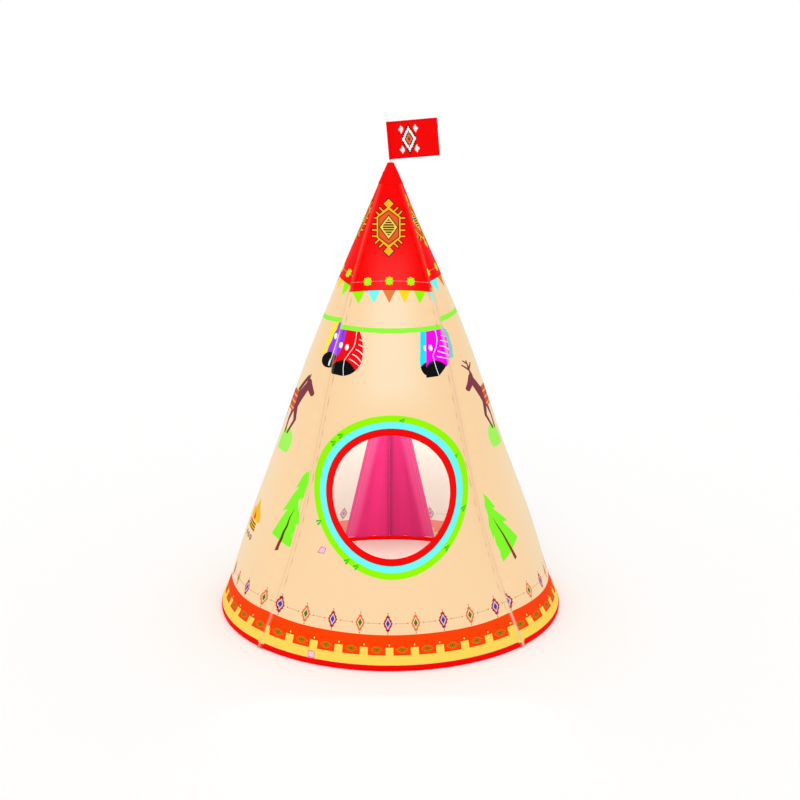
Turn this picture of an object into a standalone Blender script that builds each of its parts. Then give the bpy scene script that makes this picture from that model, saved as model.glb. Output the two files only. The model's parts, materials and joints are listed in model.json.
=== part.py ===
"""Kids teepee: a printed cloth cover over four sprung poles and a round hoop in its hem.

Metres, +Z up. The origin is on the floor under the tip, and the front window faces -Y.
The front panel and the front right corner are modelled once, and quarter turns about Z
give the other panels and corners.
"""

import math

import bmesh
import bpy
import numpy as np
from mathutils import Matrix, Vector

# Shape of the cover
base_diameter = 1.000
cone_height = 1.275
tip_diameter = 0.024
pole_draw_in = 0.0065
pole_sway = 0.0211
pole_ripple = 0.0024
# How full a panel is between its corners, from the floor to the tip: 0 is flat, 1 is round
panel_fullness_shares = (1.0, 1.38, 1.28, 0.95, 0.5)

# Fits
fit_gap = 0.0003
cut_overrun = 0.020

# Cloth
cloth_thickness = 0.0012
hem_width = 0.0096
hem_height = 0.0140
hem_chamfer = 0.0026
floor_thickness = 0.0010
sleeve_wall = 0.0011

# Poles and hoop
pole_diameter = 0.0080
ferrule_wall = 0.0009
ferrule_length = 0.0500
hoop_diameter = 0.0060

# Feet
foot_diameter = 0.0180
foot_socket_length = 0.0240
foot_socket_wall = 0.0012
foot_rod_seat = 0.0050

# Hub and cup at the tip
cup_height = 0.0550
cup_thickness = 0.0012
cup_rounding = 0.0040
cup_slack = 0.0010
hub_socket_drop = 0.0500
hub_socket_wall = 0.0010
hub_skirt_drop = 0.0440
hub_rod_drop = 0.0300
hub_socket_roof = 0.0030
hub_top_diameter = 0.0130

# Flag
staff_diameter = 0.0050
staff_seat_depth = 0.0280
staff_reach = 0.1120
staff_tilt = math.radians(5)
flag_fly = 0.1400
flag_hoist = 0.1010
flag_lift = 0.0080
flag_thickness = 0.0008
flag_ripple = 0.0035
flag_turn = math.radians(-8)

# Window in the front panel
window_width = 0.3140
window_height = 0.3040
window_centre_height = 0.4245
window_binding_width = 0.0165
binding_thickness = 0.0024

# Doorway in the rear panel, and its curtains
door_width = 0.2900
door_height = 0.6800
door_binding_width = 0.0080
curtain_thickness = 0.0010
curtain_lap = 0.0040
curtain_floor_gap = 0.0040
curtain_part = 0.0010
pleat_depth = 0.0045
curtain_top_share = 0.93

# Tie and toggle beside each curtain
tie_height = 0.4000
tie_length = 0.1100
tie_width = 0.0120
tie_thickness = 0.0010
tie_setback = 0.0180
toggle_length = 0.0320
toggle_diameter = 0.0080
toggle_end_share = 0.6

# Counts
wall_rows = 16
wall_columns = 12
hem_segments = 12
tube_sides = 8
round_sides = 12
window_segments = 48
cup_rows = 5
cup_rounding_steps = 3
cup_panel_columns = 6
pleat_count = 5
pleat_columns = 4
curtain_rows = 6
flag_columns = 12
tie_rows = 4

base_radius = base_diameter / 2
tip_radius = tip_diameter / 2
pole_radius = pole_diameter / 2
hoop_radius = hoop_diameter / 2
staff_radius = staff_diameter / 2
ring_radius = base_radius - hem_width / 2
hoop_height = hem_height / 2
ferrule_radius = pole_radius + fit_gap + ferrule_wall
sleeve_bore = ferrule_radius + fit_gap
sleeve_radius = sleeve_bore + sleeve_wall
hub_socket_radius = pole_radius + fit_gap + hub_socket_wall
wall_bottom = hem_height + fit_gap + cloth_thickness / 2
cup_bottom = cone_height - cup_height
wall_top = cup_bottom - fit_gap - (cloth_thickness + cup_thickness) / 2
sleeve_top = cup_bottom - fit_gap - cup_thickness - sleeve_radius
corner = math.pi / 4
quarter = math.pi / 2
up = Vector((0, 0, 1))
corner_names = ("front_right", "rear_right", "rear_left", "front_left")
panel_names = ("front", "right", "rear", "left")


def clear_scene():
    for old in list(bpy.data.objects):
        bpy.data.objects.remove(old, do_unlink=True)


def finish(name, colour, roughness, metallic=0.0):
    made = bpy.data.materials.new(name)
    made.use_nodes = True
    shader = made.node_tree.nodes["Principled BSDF"]
    shader.inputs["Base Color"].default_value = (*colour, 1.0)
    shader.inputs["Roughness"].default_value = roughness
    shader.inputs["Metallic"].default_value = metallic
    return made


def add_object(name, mesh, material, turn=0.0):
    made = bpy.data.objects.new(name, mesh)
    bpy.context.scene.collection.objects.link(made)
    if material and not mesh.materials:
        mesh.materials.append(material)
    made.rotation_euler = (0, 0, turn)
    return made


def mesh_from(bm, name, smooth_angle=math.radians(40)):
    """Closes a bmesh into a mesh whose faces point out and whose round sides are smooth."""
    bmesh.ops.recalc_face_normals(bm, faces=bm.faces)
    mesh = bpy.data.meshes.new(name)
    bm.to_mesh(mesh)
    bm.free()
    mesh.shade_smooth()
    mesh.set_sharp_from_angle(angle=smooth_angle)
    return mesh


def combine(target, tool, operation="DIFFERENCE"):
    """Cuts, joins or keeps the overlap of target with a tool that stays out of the model."""
    tool.hide_render = True
    tool.display_type = "WIRE"
    step = target.modifiers.new(name=tool.name, type="BOOLEAN")
    step.operation = operation
    step.object = tool


def settle(target):
    """Applies the modifiers of target and removes the tools that they used."""
    tools = [step.object for step in target.modifiers if step.type == "BOOLEAN"]
    bpy.context.view_layer.update()
    evaluated = target.evaluated_get(bpy.context.evaluated_depsgraph_get())
    mesh = bpy.data.meshes.new_from_object(evaluated)
    mesh.name = target.name
    target.modifiers.clear()
    target.data = mesh
    for tool in tools:
        bpy.data.objects.remove(tool, do_unlink=True)
    return mesh


def pole_seam(height):
    """Distance of a corner seam from the axis: a straight lean with three bows on it."""
    share = height / cone_height
    straight = base_radius + (tip_radius - base_radius) * share
    bows = (pole_draw_in, pole_sway, pole_ripple)
    return straight - sum(bow * math.sin((k + 1) * math.pi * share) for k, bow in enumerate(bows))


def fullness(height):
    """A smooth curve through the panel's fullness shares at even heights."""
    shares = panel_fullness_shares
    place = min(max(height / cone_height, 0.0), 1.0) * (len(shares) - 1)
    first = min(int(place), len(shares) - 2)
    share = place - first
    before = shares[max(first - 1, 0)]
    low = shares[first]
    high = shares[first + 1]
    after = shares[min(first + 2, len(shares) - 1)]
    slope_low = (high - before) / 2
    slope_high = (after - low) / 2
    rest = 1 - share
    return (low * (1 + 2 * share) * rest ** 2 + slope_low * share * rest ** 2
            + high * share ** 2 * (3 - 2 * share) - slope_high * share ** 2 * rest)


def panel_reach(height, angle, extra=0.0):
    """Distance of the cloth from the axis, at an angle from its panel's middle."""
    full = fullness(height)
    flat = math.cos(corner) / math.cos(angle)
    return (pole_seam(height) + extra) * ((1 - full) * flat + full)


row_heights = np.linspace(wall_bottom, wall_top, wall_rows + 1)
hub_rod_top = cone_height - hub_rod_drop
leg_heights = np.array([hoop_height, *row_heights[1:-1], hub_rod_top + hub_socket_roof])
leg_reaches = np.array([pole_seam(h) for h in leg_heights]) - hem_width / 2
leg_reaches[0] = ring_radius


def leg_reach(height):
    """Distance of a pole's centre line from the axis."""
    return float(np.interp(height, leg_heights, leg_reaches))


def leg_slope(height):
    """How far the pole leans in for each unit of height."""
    place = int(np.clip(np.searchsorted(leg_heights, height), 1, len(leg_heights) - 1))
    rise = leg_heights[place] - leg_heights[place - 1]
    return (leg_reaches[place] - leg_reaches[place - 1]) / rise


def corner_point(reach, height):
    return Vector((reach * math.sin(corner), -reach * math.cos(corner), height))


def leg_span(low, high):
    """Points of the front right pole's centre line between two heights."""
    between = [h for h in leg_heights if low < h < high]
    return [corner_point(leg_reach(h), h) for h in (low, *between, high)]


def ring_point(angle):
    """A point of the hoop's centre line, at an angle from the front."""
    return Vector((ring_radius * math.sin(angle), -ring_radius * math.cos(angle), hoop_height))


def edge_angle(height):
    """Where a panel's edge meets its corner sleeve, as an angle from the panel's middle."""
    reach = leg_reach(height)
    stretch = math.hypot(1, leg_slope(height))
    clear = (sleeve_radius + fit_gap) * stretch
    angle = corner
    for _ in range(12):
        inner = panel_reach(height, angle) - cloth_thickness
        cosine = (inner ** 2 + reach ** 2 - clear ** 2) / (2 * inner * reach)
        angle = corner - math.acos(min(cosine, 1.0))
    return angle


def round_outline(radius, sides=tube_sides):
    """Corners of a round section, in order, with a flat side square to each main direction."""
    angles = [(k + 0.5) * 2 * math.pi / sides for k in range(sides)]
    return [(radius * math.cos(a), radius * math.sin(a)) for a in angles]


def hem_outline():
    """The hem's flattened section, with the same eight corners in order as a round one."""
    wide = hem_width / 2
    tall = hem_height / 2
    quarter_outline = [(wide, tall - hem_chamfer), (wide - hem_chamfer, tall)]
    half = quarter_outline + [(-x, y) for x, y in reversed(quarter_outline)]
    return half + [(-x, -y) for x, y in half]


def sweep(name, points, side, outer, bore=None, ends=None):
    """Carries a section along a path that lies in a plane; side is square to that plane.

    ends are the directions that the two end faces look along, where they differ from the path's.
    """
    runs = [(b - a).normalized() for a, b in zip(points, points[1:])]
    alongs = [(a + b).normalized() for a, b in zip([runs[0], *runs], [*runs, runs[-1]])]
    if ends:
        alongs[0], alongs[-1] = ends
    bm = bmesh.new()

    def rings(outline):
        made = []
        for point, along in zip(points, alongs):
            across = side.cross(along)
            made.append([bm.verts.new(point + across * x + side * y) for x, y in outline])
        return made

    def skin(loops):
        for low, high in zip(loops, loops[1:]):
            for k in range(len(low)):
                n = (k + 1) % len(low)
                bm.faces.new((low[k], low[n], high[n], high[k]))

    outside = rings(outer)
    skin(outside)
    if bore:
        inside = rings(bore)
        skin(inside)
        skin([outside[0], inside[0]])
        skin([outside[-1], inside[-1]])
    else:
        bm.faces.new(outside[0])
        bm.faces.new(outside[-1])
    return mesh_from(bm, name)


def sheet(name, place, rows, columns, thickness, material, turn=0.0, wrap=False, inward=False):
    """Cloth through place(row share, column share), thickened to both sides or inwards."""
    bm = bmesh.new()
    count = columns if wrap else columns + 1
    grid = [[bm.verts.new(place(r / rows, c / columns)) for c in range(count)] for r in range(rows + 1)]
    for r in range(rows):
        for c in range(columns):
            n = (c + 1) % count
            bm.faces.new((grid[r][c], grid[r][n], grid[r + 1][n], grid[r + 1][c]))
    bmesh.ops.triangulate(bm, faces=bm.faces, quad_method="FIXED")
    mesh = bpy.data.meshes.new(name)
    bm.to_mesh(mesh)
    bm.free()
    mesh.shade_smooth()
    made = add_object(name, mesh, material, turn)
    thicken = made.modifiers.new(name="cloth", type="SOLIDIFY")
    thicken.thickness = thickness
    thicken.offset = -1 if inward else 0
    thicken.use_even_offset = True
    return made


def prism(name, outline, low, high, turn=0.0, hole=None):
    """A tool with an outline of (x, z) points, from y = low to y = high."""
    bm = bmesh.new()

    def ring(points, y):
        return [bm.verts.new((x, y, z)) for x, z in points]

    def band(first, second):
        for k in range(len(first)):
            n = (k + 1) % len(first)
            bm.faces.new((first[k], first[n], second[n], second[k]))

    front = ring(outline, low)
    back = ring(outline, high)
    band(front, back)
    if hole:
        hole_front = ring(hole, low)
        hole_back = ring(hole, high)
        band(hole_front, hole_back)
        band(front, hole_front)
        band(back, hole_back)
    else:
        bm.faces.new(front)
        bm.faces.new(back)
    return add_object(name, mesh_from(bm, name), None, turn)


def rod(name, start, end, radius, sides=round_sides, end_radius=None, material=None):
    """A round bar, or a cone with end_radius, from start to end."""
    bm = bmesh.new()
    run = end - start
    place = Matrix.Translation((start + end) / 2) @ run.to_track_quat("Z", "Y").to_matrix().to_4x4()
    far = radius if end_radius is None else end_radius
    bmesh.ops.create_cone(bm, cap_ends=True, segments=sides, radius1=radius, radius2=far,
                          depth=run.length, matrix=place)
    return add_object(name, mesh_from(bm, name), material)


def copies(name, mesh, material, ending=""):
    """The front right corner's piece and its turned copies at the other corners."""
    for k, place in enumerate(corner_names):
        add_object(f"{name}_{place}{ending}", mesh, material, k * quarter)


# Doorway geometry, measured at the rear panel: x to the side, depth from the axis

door_sill = wall_bottom
door_half = door_width / 2
door_spread = math.atan2(door_half, door_height - door_sill)


def door_half_width(height, grow=0.0):
    """Half the doorway's width at a height, with its sloping edges moved out by grow."""
    tip = door_height + grow / math.sin(door_spread)
    return max((tip - height) * math.tan(door_spread), 0.0)


def cloth_depth(side, height):
    """Depth of an unpulled panel at a distance to the side of its middle."""
    angle = 0.0
    for _ in range(12):
        angle = math.asin(min(side / panel_reach(height, angle), 1.0))
    return panel_reach(height, angle) * math.cos(angle)


hinge_low_depth = cloth_depth(door_half, door_sill)
hinge_high_depth = cloth_depth(0.0, door_height)
middle_low_depth = cloth_depth(0.0, door_sill)


def door_line(low_depth, height):
    """Depth of a straight line from the doorway's foot to its point."""
    share = (height - door_sill) / (door_height - door_sill)
    return low_depth + (hinge_high_depth - low_depth) * share


def rear_depth(side, height):
    """Depth of the rear cloth, which its tension pulls straight along the doorway's edges."""
    depth = cloth_depth(side, height)
    if height >= door_height:
        return depth
    edge = door_half_width(height)
    pull = cloth_depth(edge, height) - door_line(hinge_low_depth, height)
    rim = edge_angle(height)
    far = panel_reach(height, rim) * math.sin(rim)
    share = min(max((far - side) / (far - edge), 0.0), 1.0)
    return depth - pull * share ** 2 * (3 - 2 * share)


def panel_place(row, column, rear=False):
    """A point of the front panel's cloth, or of the rear panel's turned to the front."""
    height = wall_bottom + (wall_top - wall_bottom) * row
    angle = (2 * column - 1) * edge_angle(height)
    reach = panel_reach(height, angle)
    side = reach * math.sin(angle)
    depth = rear_depth(abs(side), height) if rear else reach * math.cos(angle)
    return (side, -depth, height)


def rear_place(row, column):
    return panel_place(row, column, rear=True)


def window_outline(grow):
    """The window's oval, with its edge moved out by grow."""
    wide = window_width / 2 + grow
    tall = window_height / 2 + grow
    angles = [2 * math.pi * k / window_segments for k in range(window_segments)]
    return [(wide * math.cos(a), window_centre_height + tall * math.sin(a)) for a in angles]


def door_outline(grow):
    """The doorway's triangle, run down past the hem, with its edges moved out by grow."""
    low = door_sill - cut_overrun
    high = door_height + grow / math.sin(door_spread)
    half = door_half_width(low, grow)
    return [(-half, low), (half, low), (0.0, high)]


def build_poles(rod_finish, ferrule_finish):
    """Each pole is three rods, pushed into two ferrules."""
    lean = math.hypot(1, leg_slope(hoop_height))
    low = hoop_height + foot_rod_seat / lean
    third = (hub_rod_top - low) / 3
    breaks = (low + third, low + 2 * third)
    spans = {"lower": (low, breaks[0] - fit_gap),
             "middle": (breaks[0] + fit_gap, breaks[1] - fit_gap),
             "upper": (breaks[1] + fit_gap, hub_rod_top)}
    side = up.cross(corner_point(1, 0)).normalized()
    for part, (start, end) in spans.items():
        mesh = sweep(f"pole_{part}", leg_span(start, end), side, round_outline(pole_radius))
        copies("pole", mesh, rod_finish, f"_{part}")
    for part, height in zip(("lower", "upper"), breaks):
        half = ferrule_length / 2 / math.hypot(1, leg_slope(height))
        mesh = sweep(f"ferrule_{part}", leg_span(height - half, height + half), side,
                     round_outline(ferrule_radius), round_outline(pole_radius + fit_gap))
        copies("ferrule", mesh, ferrule_finish, f"_{part}")


def build_sleeves(cloth_finish):
    """A cloth sleeve runs up each corner, round the pole."""
    lean = math.hypot(1, leg_slope(hoop_height))
    low = hoop_height + (foot_socket_length + fit_gap) / lean
    side = up.cross(corner_point(1, 0)).normalized()
    mesh = sweep("pole_sleeve", leg_span(low, sleeve_top), side,
                 round_outline(sleeve_radius), round_outline(sleeve_bore))
    copies("pole_sleeve", mesh, cloth_finish)


def hem_angles():
    """Even steps round the hem of one panel, between the mouths of its feet's sockets."""
    start = 2 * math.asin((foot_socket_length + fit_gap) / 2 / ring_radius)
    return np.linspace(start - corner, corner - start, hem_segments + 1)


def build_hoop(rod_finish, hem_finish):
    """Four curved rods from foot to foot, each in its channel of the hem."""
    stations = [ring_point(angle) for angle in hem_angles()]
    feet = (ring_point(-corner), ring_point(corner))
    ways = ((stations[0] - feet[0]).normalized(), (feet[1] - stations[-1]).normalized())
    start = feet[0] + ways[0] * foot_rod_seat
    end = feet[1] - ways[1] * foot_rod_seat
    rod_mesh = sweep("hoop_rod", [start, *stations, end], up, round_outline(hoop_radius))
    hem_mesh = sweep("hem_channel", stations, up, hem_outline(), round_outline(hoop_radius + fit_gap),
                     ways)
    for k, place in enumerate(panel_names):
        add_object(f"hoop_rod_{place}", rod_mesh, rod_finish, k * quarter)
        add_object(f"hem_channel_{place}", hem_mesh, hem_finish, k * quarter)


def build_feet(plastic):
    """A moulded knuckle with a socket for the pole and one for each hoop rod."""
    centre = ring_point(corner)
    leg_way = (corner_point(leg_reach(leg_heights[1]), leg_heights[1]) - centre).normalized()
    hoop_step = hem_angles()[-1]
    front_way = (ring_point(hoop_step) - centre).normalized()
    side_way = (ring_point(quarter - hoop_step) - centre).normalized()
    bm = bmesh.new()
    bmesh.ops.create_uvsphere(bm, u_segments=round_sides, v_segments=tube_sides,
                              radius=foot_diameter / 2, matrix=Matrix.Translation(centre))
    foot = add_object("foot", mesh_from(bm, "foot"), plastic)
    sockets = {"leg": (leg_way, pole_radius), "front": (front_way, hoop_radius),
               "side": (side_way, hoop_radius)}
    for place, (way, radius) in sockets.items():
        wall = radius + fit_gap + foot_socket_wall
        mouth = centre + way * foot_socket_length
        combine(foot, rod(f"foot_socket_{place}", centre, mouth, wall), "UNION")
    for place, (way, radius) in sockets.items():
        floor = centre + way * (foot_rod_seat - fit_gap)
        past = centre + way * (foot_socket_length + cut_overrun)
        combine(foot, rod(f"foot_bore_{place}", floor, past, radius + fit_gap))
    reach = foot_diameter
    x, y = centre.x, centre.y
    ground = [(x - reach, -reach), (x + reach, -reach), (x + reach, 0.0), (x - reach, 0.0)]
    combine(foot, prism("foot_ground", ground, y - reach, y + reach))
    mesh = settle(foot)
    bpy.data.objects.remove(foot)
    copies("foot", mesh, plastic)


def staff_frame():
    """Where the staff meets the tip's top, with local Z up the leaning staff."""
    return Matrix.Translation((0, 0, cone_height)) @ Matrix.Rotation(-staff_tilt, 4, "Y")


def build_hub(plastic):
    """A moulded cone with four sockets for the poles and one on top for the staff."""
    top = cone_height - cup_thickness - fit_gap
    skirt = cone_height - hub_skirt_drop
    hub = rod("apex_hub", Vector((0, 0, skirt)), Vector((0, 0, top)), leg_reach(skirt),
              2 * round_sides, hub_top_diameter / 2, plastic)
    mouth_height = cone_height - hub_socket_drop
    roof_height = hub_rod_top + hub_socket_roof
    turns = [Matrix.Rotation(k * quarter, 3, "Z") for k in range(len(corner_names))]
    mouth = corner_point(leg_reach(mouth_height), mouth_height)
    roof = corner_point(leg_reach(roof_height), roof_height)
    stop = corner_point(leg_reach(hub_rod_top + fit_gap), hub_rod_top + fit_gap)
    past = mouth + (mouth - roof).normalized() * cut_overrun
    for place, turn in zip(corner_names, turns):
        combine(hub, rod(f"hub_socket_{place}", turn @ mouth, turn @ roof, hub_socket_radius), "UNION")
    for place, turn in zip(corner_names, turns):
        combine(hub, rod(f"hub_bore_{place}", turn @ past, turn @ stop, pole_radius + fit_gap))
    frame = staff_frame()
    seat = frame @ Vector((0, 0, -staff_seat_depth - fit_gap))
    combine(hub, rod("hub_staff_bore", seat, frame @ Vector((0, 0, cut_overrun)), staff_radius + fit_gap))
    settle(hub)


def build_cup(cloth_finish):
    """The red cloth cup that closes the tip over the hub, with a hole for the staff."""
    stretch = math.hypot(1, leg_slope(cup_bottom))
    proud = (hub_socket_radius + cup_slack + cup_thickness) * stretch - hem_width / 2
    shoulder = cone_height - cup_rounding
    socket_top = hub_rod_top + hub_socket_roof + hub_socket_radius
    hole = staff_radius / math.cos(staff_tilt) + fit_gap + cup_thickness * math.tan(staff_tilt)
    rows = cup_rows + cup_rounding_steps + 1

    def place(row, column):
        step = round(row * rows)
        turn = column * 2 * math.pi
        angle = (turn + corner) % quarter - corner
        height = cup_bottom + (shoulder - cup_bottom) * min(step / cup_rows, 1.0)
        ease = min((cone_height - height) / (cone_height - socket_top), 1.0)
        reach = panel_reach(height, angle, proud * ease)
        swing = quarter * min(max(step - cup_rows, 0) / cup_rounding_steps, 1.0)
        reach -= cup_rounding * (1 - math.cos(swing))
        height += cup_rounding * math.sin(swing)
        if step == rows:
            reach = hole
        return (reach * math.sin(turn), -reach * math.cos(turn), height)

    columns = cup_panel_columns * len(panel_names)
    sheet("tip_cup", place, rows, columns, cup_thickness, cloth_finish, wrap=True, inward=True)


def build_flag(staff_finish, flag_finish):
    """The staff stands in the hub, and the flag's hoist is a sleeve that turns on it."""
    frame = staff_frame()
    foot = frame @ Vector((0, 0, -staff_seat_depth))
    staff = rod("flag_staff", Vector((0, 0, 0)), frame @ Vector((0, 0, staff_reach)) - foot, staff_radius,
                material=staff_finish)
    staff.location = foot
    low = flag_lift
    high = flag_lift + flag_hoist
    hoist_radius = staff_radius + fit_gap + flag_thickness
    flag = rod("flag", Vector((0, 0, low)), Vector((0, 0, high)), hoist_radius, material=flag_finish)

    def fly_place(row, column):
        start = staff_radius + fit_gap + flag_thickness / 2
        x = start + (flag_fly - hoist_radius - start) * column
        wave = flag_ripple * math.sin(2 * math.pi * column) * column
        return (x, wave, low + (high - low) * row)

    combine(flag, sheet("flag_fly", fly_place, 1, flag_columns, flag_thickness, None), "UNION")
    below = Vector((0, 0, low - cut_overrun))
    above = Vector((0, 0, high + cut_overrun))
    combine(flag, rod("flag_bore", below, above, staff_radius + fit_gap))
    settle(flag)
    flag.matrix_world = frame @ Matrix.Rotation(flag_turn, 4, "Z")


def build_walls(cloth_finish, window_finish, door_finish):
    """Four cloth panels between the sleeves; the front has the window and the rear the doorway."""
    for k, place in enumerate(panel_names):
        lay = rear_place if place == "rear" else panel_place
        wall = sheet(f"wall_{place}", lay, wall_rows, wall_columns, cloth_thickness, cloth_finish,
                     k * quarter)
        if place == "front":
            outline = window_outline(window_binding_width + fit_gap)
            combine(wall, prism("window_cut", outline, -base_diameter, 0.0))
        if place == "rear":
            outline = door_outline(door_binding_width + fit_gap)
            combine(wall, prism("door_cut", outline, -base_diameter, 0.0, 2 * quarter))
    binding = sheet("window_binding", panel_place, wall_rows, wall_columns, binding_thickness,
                    window_finish)
    ring = prism("window_ring", window_outline(window_binding_width), -base_diameter, 0.0,
                 hole=window_outline(0.0))
    combine(binding, ring, "INTERSECT")
    binding = sheet("door_binding", rear_place, wall_rows, wall_columns, binding_thickness,
                    door_finish, 2 * quarter)
    outer = door_outline(door_binding_width)
    inner = door_outline(0.0)
    strip = [outer[0], outer[2], outer[1], inner[1], inner[2], inner[0]]
    combine(binding, prism("door_strip", strip, -base_diameter, 0.0, 2 * quarter), "INTERSECT")


def build_curtain(name, side, cloth_finish):
    """A pleated flap that swings out about its straight sewn edge beside the doorway."""
    stand_off = binding_thickness / 2 + fit_gap + curtain_thickness / 2
    low = door_sill + curtain_floor_gap
    high = low + (door_height - low) * curtain_top_share

    def edges(height):
        sewn = Vector((side * door_half_width(height, curtain_lap), door_line(hinge_low_depth, height), height))
        free = Vector((side * curtain_part / 2, door_line(middle_low_depth, height), height))
        return sewn, free

    sewn_low, free_low = edges(low)
    sewn_high, free_high = edges(high)
    out = (free_low - sewn_low).cross(sewn_high - sewn_low).normalized()
    out *= math.copysign(1, out.y)
    hinge = sewn_low + out * stand_off

    def place(row, column):
        sewn = sewn_low.lerp(sewn_high, row)
        free = free_low.lerp(free_high, row)
        wave = math.sin(math.pi * pleat_count * column) * min(column * pleat_count, 1.0)
        width = (free - sewn).length / (free_low - sewn_low).length
        point = sewn.lerp(free, column)
        return point + out * (stand_off + pleat_depth * width * wave) - hinge

    made = sheet(name, place, curtain_rows, pleat_count * pleat_columns, curtain_thickness, cloth_finish)
    made.location = hinge


def build_tie(name, side, cloth_finish, toggle_finish):
    """A sewn tie beside the doorway, and the toggle that it loops over to hold a curtain back."""
    lift = (cloth_thickness + tie_thickness) / 2 + fit_gap

    def spot(height, offset):
        across = door_half_width(height, door_binding_width + tie_setback) + offset
        return Vector((side * across, rear_depth(across, height), height))

    def out_at(height, offset):
        run = spot(height + tie_width, offset) - spot(height, offset)
        across = spot(height, offset + tie_width) - spot(height, offset)
        out = run.cross(across).normalized()
        return out * math.copysign(1, out.y)

    def place(row, column):
        height = tie_height - tie_length * (1 - row)
        offset = tie_width * (column - 0.5)
        return spot(height, offset) + out_at(height, offset) * lift

    sheet(f"curtain_tie_{name}", place, tie_rows, 1, tie_thickness, cloth_finish)
    height = tie_height - toggle_diameter
    out = out_at(height, 0.0)
    centre = spot(height, 0.0) + out * (lift + tie_thickness / 2 + fit_gap + toggle_diameter / 2)
    across = (spot(height, tie_width) - spot(height, -tie_width)).normalized()
    half = toggle_length / 2
    radius = toggle_diameter / 2
    profile = [(-half, radius * toggle_end_share), (-half + radius, radius), (half - radius, radius),
               (half, radius * toggle_end_share)]
    bm = bmesh.new()
    turned = [[bm.verts.new((r * math.cos(a), r * math.sin(a), z)) for a in
               (2 * math.pi * k / round_sides for k in range(round_sides))] for z, r in profile]
    for lower, upper in zip(turned, turned[1:]):
        for k in range(round_sides):
            n = (k + 1) % round_sides
            bm.faces.new((lower[k], lower[n], upper[n], upper[k]))
    bm.faces.new(turned[0])
    bm.faces.new(turned[-1])
    toggle = add_object(f"toggle_{name}", mesh_from(bm, f"toggle_{name}"), toggle_finish)
    toggle.matrix_world = Matrix.Translation(centre) @ across.to_track_quat("Z", "Y").to_matrix().to_4x4()


def build_floor(cloth_finish):
    """The floor cloth inside the hem, notched round the feet."""
    reach = ring_radius - hem_width / 2 + hem_chamfer - floor_thickness - math.sqrt(2) * fit_gap
    clear = foot_diameter / 2 + fit_gap
    notch = clear / ring_radius
    inner = ring_radius - clear
    outline = []
    for k in range(len(panel_names)):
        turn = k * quarter
        start, end = turn + corner - notch, turn + corner + notch
        outline += [(reach, turn + angle) for angle in hem_angles()]
        outline += [(reach, start), (inner, start), (inner, end), (reach, end)]
    bm = bmesh.new()
    base = bm.faces.new([bm.verts.new((r * math.sin(a), -r * math.cos(a), 0.0)) for r, a in outline])
    raised = bmesh.ops.extrude_face_region(bm, geom=[base])
    lifted = [piece for piece in raised["geom"] if isinstance(piece, bmesh.types.BMVert)]
    bmesh.ops.translate(bm, verts=lifted, vec=(0, 0, floor_thickness))
    add_object("floor_sheet", mesh_from(bm, "floor_sheet"), cloth_finish)


def main():
    clear_scene()
    printed_cloth = finish("printed_polyester", (0.93, 0.80, 0.58), 0.75)
    plain_cloth = finish("cream_polyester", (0.95, 0.88, 0.74), 0.75)
    red_cloth = finish("red_polyester", (0.90, 0.02, 0.01), 0.70)
    pink_cloth = finish("pink_polyester", (0.90, 0.05, 0.22), 0.65)
    fibreglass = finish("fibreglass_rod", (0.90, 0.90, 0.88), 0.45)
    steel = finish("plated_steel", (0.72, 0.72, 0.74), 0.30, 1.0)
    white_plastic = finish("white_plastic", (0.92, 0.92, 0.90), 0.40)
    wood = finish("toggle_wood", (0.62, 0.42, 0.24), 0.55)
    build_poles(fibreglass, steel)
    build_sleeves(printed_cloth)
    build_hoop(fibreglass, red_cloth)
    build_feet(white_plastic)
    build_hub(white_plastic)
    build_cup(red_cloth)
    build_flag(white_plastic, red_cloth)
    build_walls(printed_cloth, red_cloth, pink_cloth)
    for name, side in (("left", -1), ("right", 1)):
        build_curtain(f"door_curtain_{name}", side, pink_cloth)
        build_tie(name, side, pink_cloth, wood)
    build_floor(plain_cloth)


main()
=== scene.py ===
"""The printed cloth, stitching and small fittings of a kids teepee, laid over its packed frame.

Metres, +Z up. The origin is on the floor under the tip, and the window faces -Y. A point of a
cloth panel is given by its distance to the side of the panel's middle and by its height, and
quarter turns about Z carry the front panel's points to the other three panels.
"""

import json
import math
from functools import reduce

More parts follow.
